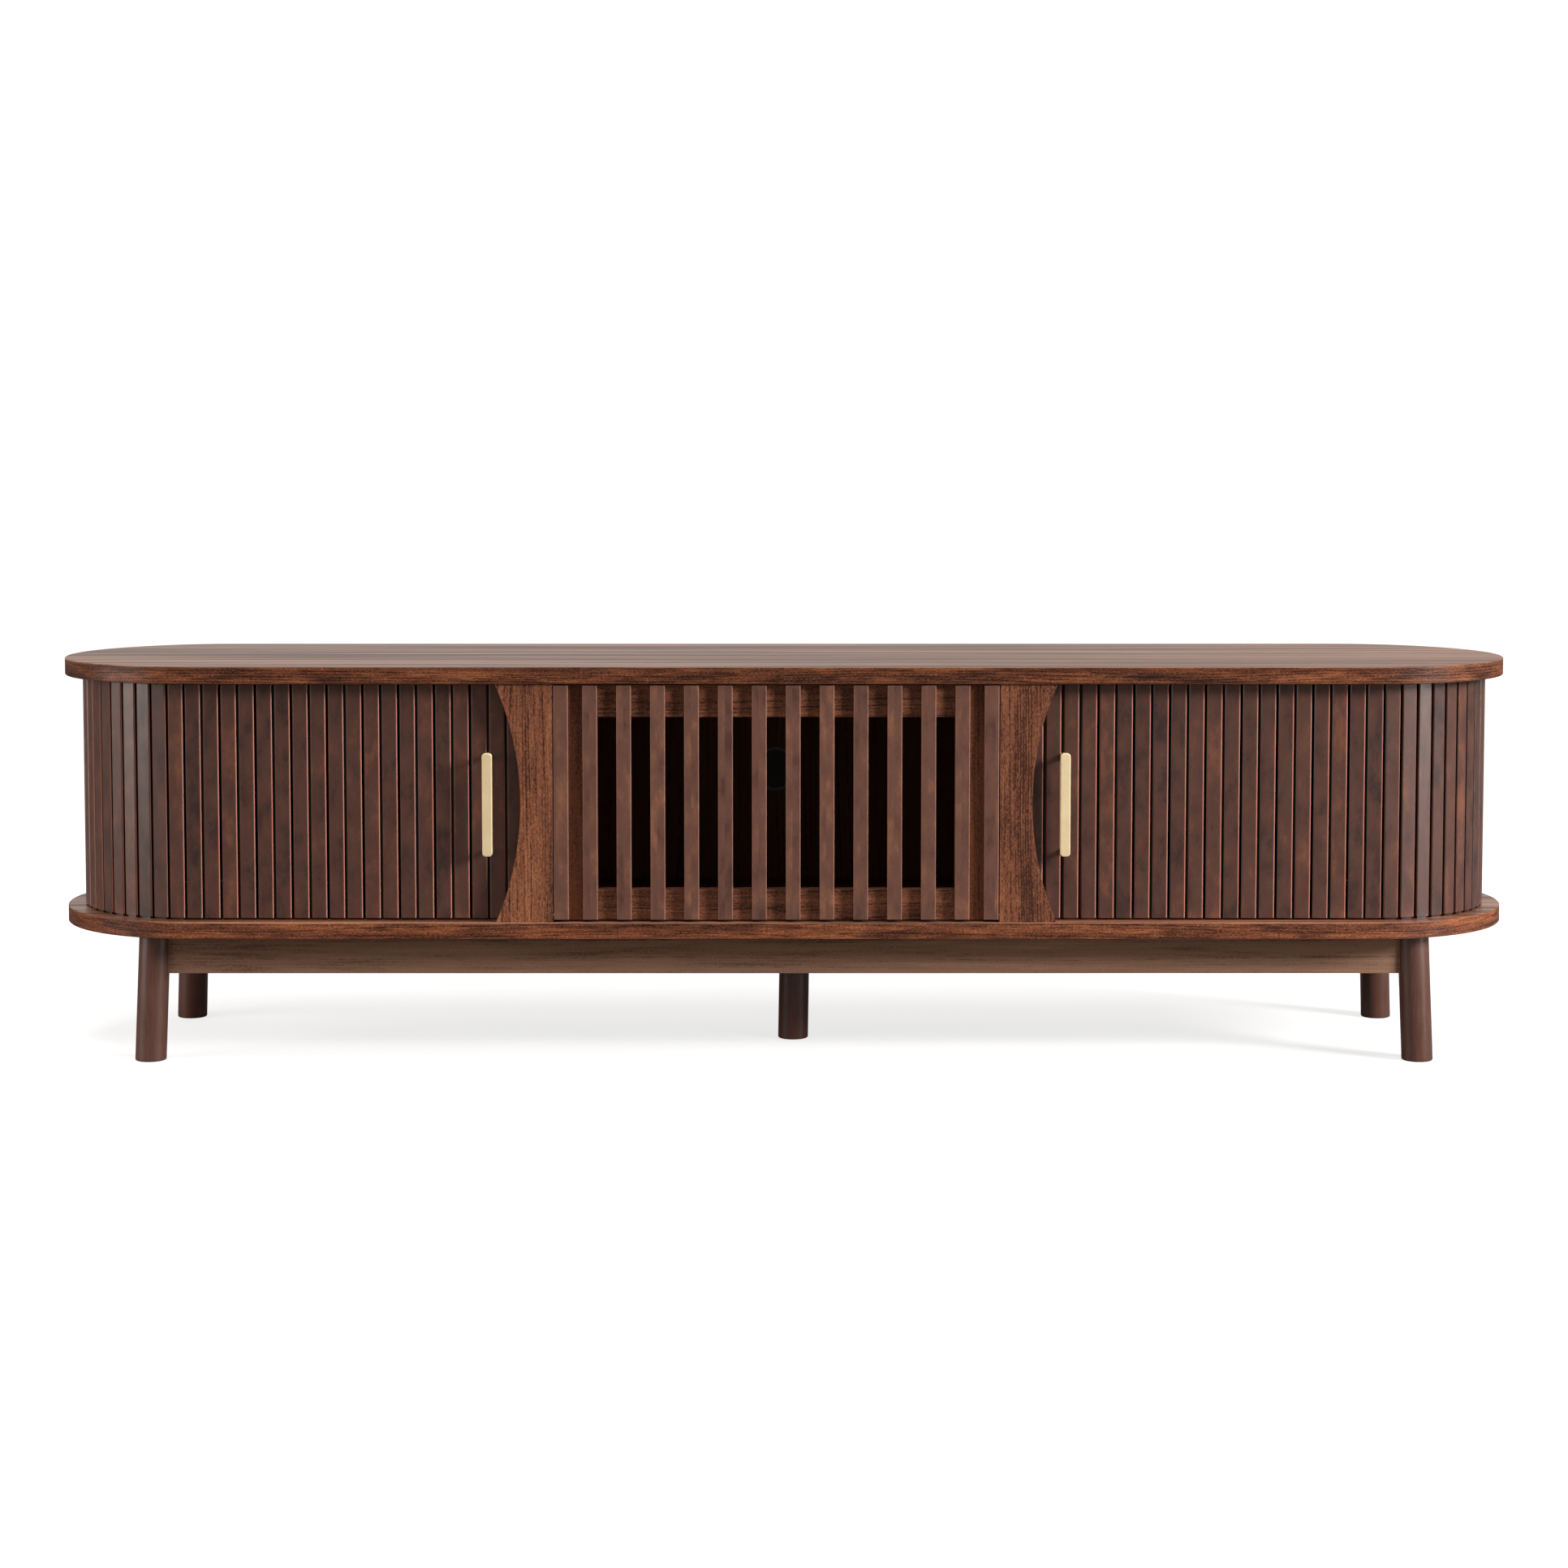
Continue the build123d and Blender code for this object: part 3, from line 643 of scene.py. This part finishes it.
@dataclass(frozen=True)
class TambourStain:
    """Stained slats of the sliding doors, with the canvas behind them."""

    name: str
    straight_half: float
    round_radius: float
    first: float
    pitch: float
    slat_thick: float
    dark: Colour = (48, 31, 28)
    middle: Colour = (80, 51, 43)
    light: Colour = (114, 70, 52)
    # colour of the painted highlight on each slat's right-hand bevel and edge
    rubbed_and_highlight: Colour = (196, 122, 100)
    canvas: Colour = (20, 17, 16)
    cloud_share: float = 1.1
    slat_share: float = 0.3
    bevel_starts: Range = (mm(0.25), mm(0.8))  # depths behind the slats' face, as are the next two
    bevel_ends: Range = (mm(2.2), mm(1.5))
    # depths behind the slats' face over which the gaps between slats are painted dark as shade
    gap_shade_depths: Range = (mm(1.1), mm(2.4))
    canvas_depths: Range = (mm(-0.4), mm(0.2))  # behind the slats' back
    # share of the edge mask in the painted highlight, and the highlight's strength, on each slat's right-hand
    # bevel
    wear_and_highlight: float = 0.3
    highlight_share: float = 0.95
    # strength and tone of the painted shade on each slat's left-hand bevel
    painted_shade_share: float = 0.6
    painted_shade_tone: float = 0.5
    # strength and tone of the painted shade in the gaps between slats
    gap_shade_share: float = 0.95
    gap_shade_tone: float = 0.3
    thread: float = mm(1.1)
    thread_height: float = 2.0
    thread_tone: float = 1.6
    rough_low: float = 0.3
    rough_high: float = 0.42
    canvas_rough: float = 0.5
    specular: float = 0.45
    coat: float = 0.25
    coat_rough: float = 0.28
    arris: Arris = Arris(mm(1.4), 0.4)
    relief: Relief = Relief(mm(0.2), 0.2)

    def weave(self, wires: Wiring, along: Socket) -> Socket:
        """Height of the canvas's threads.

        Args:
            wires: the wiring of the material.
            along: the distance along the track.

        Returns:
            The height, from 0.25 to 0.75.
        """
        _, _, up = wires.split(wires.piece_place())
        turns = math.tau / self.thread
        warp, weft = (wires.math("SINE", wires.math("MULTIPLY", way, turns)) for way in (along, up))
        return wires.math("MULTIPLY_ADD", wires.math("MULTIPLY", warp, weft), 0.25, 0.5)

    def wood(self, wires: Wiring, spot: bpy.types.Node, edge: Socket, stained: Socket) -> Socket:
        """Colour of a slat: a painted highlight on the right-hand bevel, painted shade on the left-hand bevel
        and painted shade in the gap.

        Args:
            wires: the wiring of the material.
            spot: the place on the door.
            edge: the mask of the slat's edges.
            stained: the stain's colour.

        Returns:
            The colour.
        """
        depth, side = spot.outputs["Depth"], spot.outputs["Edge Side"]
        bevel = wires.fit(depth, *self.bevel_starts)
        bevel = wires.math("MULTIPLY", bevel, wires.fit(depth, *self.bevel_ends))
        # painted highlight on the bevel and edge at each slat's right-hand side (Edge Side 1), where the key
        # light from the right falls
        wear_and_highlight_mask = wires.math("MAXIMUM", wires.math("MULTIPLY", edge, self.wear_and_highlight), bevel)
        bright = wires.math("MULTIPLY", wear_and_highlight_mask, wires.math("MULTIPLY", side, self.highlight_share))
        colour = wires.blend(bright, stained, paint(*self.rubbed_and_highlight))
        # painted shade on the left-hand bevel, which faces away from the key light
        painted_shade = wires.math("MULTIPLY", bevel, wires.math("SUBTRACT", 1.0, side))
        painted_shade = wires.math("MULTIPLY", painted_shade, self.painted_shade_share)
        colour = wires.blend(painted_shade, colour, toned(self.dark, self.painted_shade_tone))
        # painted shade deep in the gaps between slats
        gap = wires.fit(depth, *self.gap_shade_depths, 0.0, self.gap_shade_share)
        return wires.blend(gap, colour, toned(self.dark, self.gap_shade_tone))

    def material(self, effects: Effects) -> bpy.types.Material:
        """Build the material.

        Args:
            effects: the shared node groups.

        Returns:
            The finished material.
        """
        material, wires, shader = new_material(self.name)
        outline = {"Straight Half": self.straight_half, "Round Radius": self.round_radius}
        spot = wires.place(effects.door_place, {**outline, "First": self.first, "Pitch": self.pitch})
        stain = wires.place(
            effects.cloud,
            {
                "Number": spot.outputs["Slat"],
                **three(self),
                "Cloud Share": self.cloud_share,
                "Slat Share": self.slat_share,
            },
        )
        arris = self.arris.place(effects, wires)
        weave = self.weave(wires, spot.outputs["Along"])
        canvas = wires.blend(weave, paint(*self.canvas), toned(self.canvas, self.thread_tone))
        before, past = self.canvas_depths
        behind = wires.fit(spot.outputs["Depth"], self.slat_thick + before, self.slat_thick + past)
        wood = self.wood(wires, spot, arris.outputs["Edge"], stain.outputs["Color"])
        wires.feed(shader.inputs["Base Color"], wires.blend(behind, wood, canvas))
        rough = wires.between(stain.outputs["Gloss"], self.rough_high, self.rough_low)
        rough = wires.math("MULTIPLY_ADD", behind, self.canvas_rough, rough)
        wires.feed(shader.inputs["Roughness"], rough)
        shader.inputs["Specular IOR Level"].default_value = self.specular
        shader.inputs["Coat Weight"].default_value = self.coat
        shader.inputs["Coat Roughness"].default_value = self.coat_rough
        threads = wires.math("MULTIPLY", weave, behind)
        height = wires.math("MULTIPLY_ADD", threads, self.thread_height, stain.outputs["Height"])
        wires.feed(shader.inputs["Normal"], self.relief.normal(wires, height, arris.outputs["Normal"]))
        return material


@dataclass(frozen=True)
class GrilleStain:
    """Smoother stain of the flap's slats, with its own tone on each slat."""

    name: str
    slat_step: float
    dark: Colour = (76, 48, 41)
    middle: Colour = (101, 67, 55)
    light: Colour = (132, 88, 66)
    # colour of the edges: paled by use, and bright enough to be a painted highlight on the arrises too
    rubbed_and_highlight: Colour = (206, 144, 122)
    cloud_share: float = 1.35
    slat_share: float = 0.18
    # share of that colour on the edges, for use marks and a painted highlight on the arrises
    wear_and_highlight: float = 0.9
    rough_low: float = 0.36
    rough_high: float = 0.46
    specular: float = 0.45
    arris: Arris = Arris(mm(1.4), 0.3)
    relief: Relief = Relief(mm(0.2), 0.15)

    def material(self, effects: Effects) -> bpy.types.Material:
        """Build the material.

        Args:
            effects: the shared node groups.

        Returns:
            The finished material.
        """
        material, wires, shader = new_material(self.name)
        x, _, _ = wires.split(wires.piece_place())
        stain = wires.place(
            effects.cloud,
            {
                "Number": wires.math("ROUND", wires.math("DIVIDE", x, self.slat_step)),
                **three(self),
                "Cloud Share": self.cloud_share,
                "Slat Share": self.slat_share,
            },
        )
        arris = self.arris.place(effects, wires)
        # edges paled by use and brightened as a painted highlight on the arrises
        wear_and_highlight_mask = wires.math("MULTIPLY", arris.outputs["Edge"], self.wear_and_highlight)
        colour = wires.blend(wear_and_highlight_mask, stain.outputs["Color"], paint(*self.rubbed_and_highlight))
        wires.feed(shader.inputs["Base Color"], colour)
        rough = wires.between(stain.outputs["Gloss"], self.rough_high, self.rough_low)
        wires.feed(shader.inputs["Roughness"], rough)
        shader.inputs["Specular IOR Level"].default_value = self.specular
        normal = self.relief.normal(wires, stain.outputs["Height"], arris.outputs["Normal"])
        wires.feed(shader.inputs["Normal"], normal)
        return material


@dataclass(frozen=True)
class Lacquer:
    """Dark sprayed lacquer on turned legs, with faint grain under it."""

    name: str
    dark: Colour = (80, 51, 43)
    light: Colour = (98, 64, 54)
    grain: Noise = Noise(420.0, 2.0, 0.5, pull=(1.0, 1.0, 0.06))
    patches: Noise = Noise(14.0, 2.0, 0.5)
    orange_peel: Noise = Noise(260.0, 2.0, 0.5)
    grain_share: float = 0.6
    grain_height: float = 0.3
    rough_low: float = 0.27
    rough_high: float = 0.36
    coat: float = 0.4
    coat_rough: float = 0.1
    relief: Relief = Relief(mm(0.2), 0.08)

    def material(self, effects: Effects) -> bpy.types.Material:
        """Build the material.

        Args:
            effects: the shared node groups.

        Returns:
            The finished material.
        """
        material, wires, shader = new_material(self.name)
        place = wires.piece_place()
        grain = wires.noise(place, self.grain)
        patches = wires.noise(place, self.patches)
        patch_share = wires.math("MULTIPLY", patches, 1.0 - self.grain_share)
        share = wires.math("ADD", wires.math("MULTIPLY", grain, self.grain_share), patch_share)
        colour = wires.blend(wires.fit(share, *MOST_OF_NOISE), paint(*self.dark), paint(*self.light))
        wires.feed(shader.inputs["Base Color"], colour)
        rough = wires.fit(patches, *MOST_OF_NOISE, self.rough_low, self.rough_high)
        wires.feed(shader.inputs["Roughness"], rough)
        height = wires.math("MULTIPLY_ADD", grain, self.grain_height, wires.noise(place, self.orange_peel))
        wires.feed(shader.inputs["Normal"], self.relief.normal(wires, height))
        shader.inputs["Coat Weight"].default_value = self.coat
        shader.inputs["Coat Roughness"].default_value = self.coat_rough
        return material


@dataclass(frozen=True)
class Metal:
    """Brushed or plated metal."""

    name: str
    dark: Colour
    light: Colour
    rough_low: float = 0.28
    rough_high: float = 0.42
    metallic: float = 1.0
    brushing: Noise = Noise(1600.0, 3.0, 0.6, pull=(1.0, 1.0, 0.03))
    patches: Noise = Noise(40.0, 3.0, 0.5)
    brushing_share: float = 0.5
    arris: Arris = Arris(mm(0.8), 0.2)
    relief: Relief = Relief(mm(0.1), 0.1)

    def material(self, effects: Effects) -> bpy.types.Material:
        """Build the material.

        Args:
            effects: the shared node groups.

        Returns:
            The finished material.
        """
        material, wires, shader = new_material(self.name)
        place = wires.piece_place()
        brushed = wires.noise(place, self.brushing)
        share = wires.vary(wires.noise(place, self.patches), brushed, self.brushing_share)
        colour = wires.blend(wires.fit(share, *MOST_OF_NOISE), paint(*self.dark), paint(*self.light))
        wires.feed(shader.inputs["Base Color"], colour)
        shader.inputs["Metallic"].default_value = self.metallic
        rough = wires.fit(brushed, *MOST_OF_NOISE, self.rough_low, self.rough_high)
        wires.feed(shader.inputs["Roughness"], rough)
        arris = self.arris.place(effects, wires)
        wires.feed(shader.inputs["Normal"], self.relief.normal(wires, brushed, arris.outputs["Normal"]))
        return material


@dataclass(frozen=True)
class Plastic:
    """Moulded plastic with a fine spark-eroded texture."""

    name: str
    dark: Colour
    light: Colour
    rough: float
    rough_spread: float = 0.1
    specks: Noise = Noise(1800.0, 2.0, 0.6)
    patches: Noise = Noise(60.0, 3.0, 0.6)
    arris: Arris = Arris(mm(0.6), 0.2)
    relief: Relief = Relief(mm(0.1), 0.2)

    def material(self, effects: Effects) -> bpy.types.Material:
        """Build the material.

        Args:
            effects: the shared node groups.

        Returns:
            The finished material.
        """
        material, wires, shader = new_material(self.name)
        place = wires.piece_place()
        patches = wires.noise(place, self.patches)
        colour = wires.blend(wires.fit(patches, *MOST_OF_NOISE), paint(*self.dark), paint(*self.light))
        wires.feed(shader.inputs["Base Color"], colour)
        rough = wires.fit(patches, *MOST_OF_NOISE, self.rough, self.rough + self.rough_spread)
        wires.feed(shader.inputs["Roughness"], rough)
        arris = self.arris.place(effects, wires)
        normal = self.relief.normal(wires, wires.noise(place, self.specks), arris.outputs["Normal"])
        wires.feed(shader.inputs["Normal"], normal)
        return material


# ------------------------------------------------------------------ sub-assemblies


def dress(node: str, material: bpy.types.Material) -> None:
    """Give a CAD node its material.

    Args:
        node: the node's name.
        material: what it is finished with.
    """
    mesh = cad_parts[node].data
    mesh.materials.clear()
    mesh.materials.append(material)
    LOG.info("dressed %s with %s", node, material.name)


@dataclass
class Sizes:
    """Sizes of the cabinet that the finishes follow, in part read from the frame."""

    slat_pitch: float = mm(24.01)
    slat_thick: float = mm(8.0)
    tail_past: float = mm(2.3)  # the closed door's rear edge past the end of the arc
    straight_half: float = 0.0
    board_radius: float = 0.0
    track_radius: float = 0.0
    first: float = 0.0

    def read(self) -> "Sizes":
        """Work out the board's and the track's radii from the nodes' boxes.

        Returns:
            This same object, filled in.
        """
        low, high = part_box("top_board")
        self.board_radius = (high.y - low.y) / 2
        self.straight_half = (high.x - low.x) / 2 - self.board_radius
        front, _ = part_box("door_right_pair_1")
        self.track_radius = -front.y
        arc = math.pi * self.track_radius
        self.first = arc + self.tail_past - math.floor(arc / self.slat_pitch) * self.slat_pitch
        return self


@dataclass
class Carcass:
    """Boards, walls, shelves, back and the fixed concave front panels."""

    sizes: Sizes
    face: Veneer = Veneer(
        "board_face", dark=(66, 41, 30), middle=(115, 73, 53), light=(158, 107, 78), grain=Grain.ALONG_X,
        vein_spacing=mm(14.0), vein_sway=0.7, vein_share=0.4, streak_share=1.9, streak_pull=0.02,
        fleck_share=0.3, rough_low=0.3, rough_high=0.4,
    )
    edge: Veneer = Veneer(
        "board_edge", dark=(46, 22, 14), middle=(108, 62, 42), light=(162, 98, 64), grain=Grain.ALONG_X,
        vein_spacing=mm(3.6), vein_sway=1.6, vein_share=0.5, streak_share=1.3, streak_pull=0.12,
        fleck_share=2.0, rough_low=0.36, rough_high=0.48,
    )
    front: Veneer = Veneer(
        "front_panel_veneer", dark=(60, 34, 25), middle=(121, 74, 53), light=(160, 103, 71),
        grain=Grain.UPRIGHT, vein_spacing=mm(4.6), vein_sway=1.5, vein_share=0.66, streak_share=0.9,
        streak_pull=0.08, fleck_share=1.9,
    )
    inside: Veneer = Veneer(
        "inside_board", dark=(62, 36, 26), middle=(108, 65, 47), light=(134, 84, 61), grain=Grain.UPRIGHT,
        rough_low=0.5, rough_high=0.62,
    )
    shelf: Veneer = Veneer(
        "shelf_board", dark=(58, 32, 23), middle=(96, 56, 40), light=(122, 74, 54), grain=Grain.ALONG_X,
        rough_low=0.46, rough_high=0.58,
    )
    top_edge_tone: float = 0.79
    base_band_start: float = 0.58

    def build(self, effects: Effects) -> None:
        """Dress the fixed parts of the cabinet.

        Args:
            effects: the shared node groups.
        """
        outline = (self.sizes.straight_half, self.sizes.board_radius)
        top = BoardVeneer("top_walnut", self.face, self.edge, *outline, edge_tone=self.top_edge_tone)
        base = BoardVeneer("base_walnut", self.face, self.edge, *outline, band_start=self.base_band_start)
        dress("top_board", top.material(effects))
        dress("base_board", base.material(effects))
        panels = self.front.material(effects)
        inside = self.inside.material(effects)
        shelf = self.shelf.material(effects)
        for side in ("left", "right"):
            dress(f"front_panel_{side}", panels)
            dress(f"partition_{side}", inside)
            dress(f"end_wall_{side}", inside)
            dress(f"shelf_{side}", shelf)
        for node in ("liner_backs", "back_panel"):
            dress(node, inside)


@dataclass
class Stand:
    """Five legs and the apron frame."""

    apron: Veneer = Veneer(
        "apron_veneer", dark=(90, 66, 54), middle=(141, 107, 87), light=(166, 128, 105),
        grain=Grain.ALONG_X, vein_spacing=mm(4.0), vein_sway=0.6, vein_share=0.28, streak_share=0.85,
        fleck_share=0.8, rough_low=0.42, rough_high=0.52,
    )
    lacquer: Lacquer = Lacquer("leg_lacquer")

    def build(self, effects: Effects) -> None:
        """Dress the legs and aprons.

        Args:
            effects: the shared node groups.
        """
        dress("apron_rails", self.apron.material(effects))
        legs = self.lacquer.material(effects)
        for node in sorted(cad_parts):
            if node.startswith("leg_"):
                dress(node, legs)


@dataclass
class TambourDoors:
    """Both sliding doors with their battens and pulls."""

    sizes: Sizes
    batten: Veneer = Veneer(
        "batten_wood", dark=(60, 38, 28), middle=(92, 60, 44), light=(116, 80, 60), grain=Grain.UPRIGHT
    )
    brass: Metal = Metal(
        "champagne_brass", dark=(235, 211, 165), light=(242, 221, 178), rough_low=0.4, rough_high=0.48,
        metallic=0.3,
    )

    def build(self, effects: Effects) -> None:
        """Dress every group of slats, the battens and the pulls.

        Args:
            effects: the shared node groups.
        """
        stain = TambourStain(
            "tambour_stain",
            straight_half=self.sizes.straight_half,
            round_radius=self.sizes.track_radius,
            first=self.sizes.first,
            pitch=self.sizes.slat_pitch,
            slat_thick=self.sizes.slat_thick,
        ).material(effects)
        brass = self.brass.material(effects)
        batten = self.batten.material(effects)
        for node in sorted(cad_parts):
            if not node.startswith("door_"):
                continue
            if node.endswith("_handle"):
                dress(node, brass)
            elif node.endswith("_batten"):
                dress(node, batten)
            else:
                dress(node, stain)


@dataclass
class Flap:
    """Slatted centre flap with its frame."""

    stile: Veneer = Veneer(
        "stile_veneer", dark=(60, 34, 23), middle=(123, 73, 50), light=(160, 99, 68), grain=Grain.UPRIGHT,
        vein_spacing=mm(5.2), vein_share=0.5, fleck_share=1.7, shift=(0.4, 0.2, 0.1),
    )
    rail: Veneer = Veneer(
        "rail_veneer", dark=(58, 33, 23), middle=(122, 76, 55), light=(166, 108, 76), grain=Grain.ALONG_X,
        vein_spacing=mm(4.8), vein_sway=1.3, streak_share=0.8, streak_pull=0.1, fleck_share=1.8,
        shift=(0.3, 0.1, 0.7),
    )
    slat_step: float = mm(22.6)

    def build(self, effects: Effects) -> None:
        """Dress the flap.

        Args:
            effects: the shared node groups.
        """
        dress("flap_stiles", self.stile.material(effects))
        dress("flap_rails", self.rail.material(effects))
        dress("flap_slats", GrilleStain("grille_stain", self.slat_step).material(effects))


@dataclass
class Fittings:
    """Metal and plastic fittings."""

    steel: Metal = Metal(
        "zinc_steel", dark=(120, 122, 126), light=(176, 178, 182), brushing=Noise(1600.0, 3.0, 0.6)
    )
    black: Plastic = Plastic("black_plastic", dark=(9, 9, 10), light=(16, 16, 17), rough=0.42)
    grey: Plastic = Plastic("grey_plastic", dark=(96, 96, 95), light=(118, 118, 116), rough=0.4)

    def build(self, effects: Effects) -> None:
        """Dress the fittings.

        Args:
            effects: the shared node groups.
        """
        steel = self.steel.material(effects)
        for node in ("base_fixings", "shelf_pins", "flap_pivot_pins", "flap_strike_plate"):
            dress(node, steel)
        black = self.black.material(effects)
        for node in ("magnet_catch", "cable_cap"):
            dress(node, black)
        dress("cable_grommet", self.grey.material(effects))


# ------------------------------------------------------------------ studio


def hang(name: str, lamp: bpy.types.Light, towards: Vector, spot: Place = (0.0, 0.0, 0.0)) -> None:
    """Put a light into the scene.

    Args:
        name: the light's name.
        lamp: the light itself.
        towards: the direction in which it shines.
        spot: where it stands.
    """
    light = bpy.data.objects.new(name, lamp)
    light.location = spot
    light.rotation_euler = towards.to_track_quat("-Z", "Y").to_euler()
    bpy.context.scene.collection.objects.link(light)
    LOG.info("hung %s", name)


@dataclass(frozen=True)
class Softbox:
    """Rectangular soft light that stands at a spot and faces another."""

    name: str
    spot: Place
    aim: Place
    size: Range
    watts: float
    tint: Tint = WHITE

    def build(self) -> None:
        """Make the light and hang it."""
        lamp = bpy.data.lights.new(self.name, "AREA")
        lamp.color = self.tint
        lamp.shape = "RECTANGLE"
        lamp.size, lamp.size_y = self.size
        lamp.energy = self.watts
        hang(self.name, lamp, Vector(self.aim) - Vector(self.spot), self.spot)


@dataclass(frozen=True)
class Sun:
    """Even light from far away. Its width is in degrees."""

    name: str
    towards: Place
    strength: float
    width: float

    def build(self) -> None:
        """Make the light and hang it."""
        lamp = bpy.data.lights.new(self.name, "SUN")
        lamp.energy = self.strength
        lamp.angle = math.radians(self.width)
        hang(self.name, lamp, Vector(self.towards))


@dataclass
class Studio:
    """Pale floor, soft lights, surroundings and camera. Lens and sensor are in mm, the pitch in degrees."""

    lights: tuple[Softbox | Sun, ...] = (
        Softbox("key_right", spot=(4.7, -2.5, 2.3), aim=(0.0, -0.1, 0.35), size=(1.4, 1.4), watts=405.0),
        Softbox(
            "strip_left", spot=(-3.75, -1.3, 1.0), aim=(-0.9, -0.1, 0.35), size=(2.1, 1.8), watts=72.0,
            tint=(1.0, 0.91, 0.85),
        ),
        Softbox(
            "low_right", spot=(3.4, -1.9, 0.42), aim=(0.0, 0.0, 0.12), size=(0.3, 0.8), watts=13.0,
            tint=(1.0, 0.96, 0.92),
        ),
        Sun("overhead", towards=(0.0, 0.25, -1.0), strength=1.5, width=30.0),
    )
    sky_seen: float = 1.05
    sky_light: Range = (0.225, 0.66)  # strength from in front and from behind the cabinet
    sky_tint: Tint = (1.0, 0.95, 0.9)
    floor_half: float = 60.0
    floor_bounce: Colour = (102, 96, 90)
    floor_dark: Colour = (170, 170, 169)
    floor_light: Colour = (176, 176, 175)
    floor_patches: Noise = Noise(3.0, 2.0, 0.5)
    floor_rough: float = 0.9
    floor_specular: float = 0.1
    floor_glow: float = 0.74
    camera_place: Place = (0.0, -4.594, 0.896)
    camera_pitch: float = 4.2
    lens: float = 75.73
    sensor: float = 36.0
    shift_y: float = -0.0909
    sight: float = 200.0

    def floor(self) -> None:
        """Plain floor that looks brighter to the camera than the light it throws back."""
        half = self.floor_half
        mesh = bpy.data.meshes.new("studio_floor")
        corners = [(-half, -half, 0.0), (half, -half, 0.0), (half, half, 0.0), (-half, half, 0.0)]
        mesh.from_pydata(corners, [], [(0, 1, 2, 3)])
        floor = bpy.data.objects.new("studio_floor", mesh)
        bpy.context.scene.collection.objects.link(floor)
        material, wires, shader = new_material("pale_floor")
        tone = wires.fit(wires.noise(wires.piece_place(), self.floor_patches), *MOST_OF_NOISE)
        pale = wires.blend(tone, paint(*self.floor_dark), paint(*self.floor_light))
        seen = wires.add("ShaderNodeLightPath").outputs["Is Camera Ray"]
        wires.feed(shader.inputs["Base Color"], wires.blend(seen, paint(*self.floor_bounce), pale))
        shader.inputs["Roughness"].default_value = self.floor_rough
        shader.inputs["Specular IOR Level"].default_value = self.floor_specular
        glow = wires.blend(seen, (0.0, 0.0, 0.0, 1.0), (*WHITE, 1.0))
        wires.feed(shader.inputs["Emission Color"], glow)
        shader.inputs["Emission Strength"].default_value = self.floor_glow
        mesh.materials.append(material)
        LOG.info("laid the floor")

    def sky(self) -> None:
        """Surroundings that are white to the eye, and dimmer and warmer as light."""
        world = bpy.data.worlds.new("studio_sky")
        bpy.context.scene.world = world
        world.use_nodes = True
        world.node_tree.nodes.clear()
        wires = Wiring(world.node_tree)
        seen = wires.add("ShaderNodeBackground", {"Color": (*WHITE, 1.0), "Strength": self.sky_seen})
        _, behind, _ = wires.split(wires.add("ShaderNodeTexCoord").outputs["Generated"])
        strength = wires.between(behind, *self.sky_light)
        lit = wires.add("ShaderNodeBackground", {"Color": (*self.sky_tint, 1.0), "Strength": strength})
        ray = wires.add("ShaderNodeLightPath").outputs["Is Camera Ray"]
        mixed = wires.add("ShaderNodeMixShader", {0: ray, 1: lit.outputs[0], 2: seen.outputs[0]})
        wires.add("ShaderNodeOutputWorld", {"Surface": mixed.outputs[0]})

    def camera(self) -> None:
        """Camera in front of the cabinet, a little above it."""
        data = bpy.data.cameras.new("camera")
        data.sensor_width = self.sensor
        data.lens = self.lens
        data.shift_y = self.shift_y
        data.clip_end = self.sight
        camera = bpy.data.objects.new("camera", data)
        camera.location = self.camera_place
        camera.rotation_euler = (math.radians(90.0 - self.camera_pitch), 0.0, 0.0)
        bpy.context.scene.collection.objects.link(camera)
        bpy.context.scene.camera = camera

    def build(self) -> None:
        """Set up the camera, floor, surroundings and lights."""
        self.camera()
        self.floor()
        self.sky()
        for light in self.lights:
            light.build()
        bpy.context.scene.view_settings.view_transform = "Standard"


def main() -> None:
    """Build and dress the cabinet and set up the studio."""
    effects = Effects()
    sizes = Sizes().read()
    Carcass(sizes).build(effects)
    Stand().build(effects)
    TambourDoors(sizes).build(effects)
    Flap().build(effects)
    Fittings().build(effects)
    Studio().build()


if __name__ == "__main__":
    logging.basicConfig(level=logging.INFO, format="%(name)s: %(message)s")
    main()
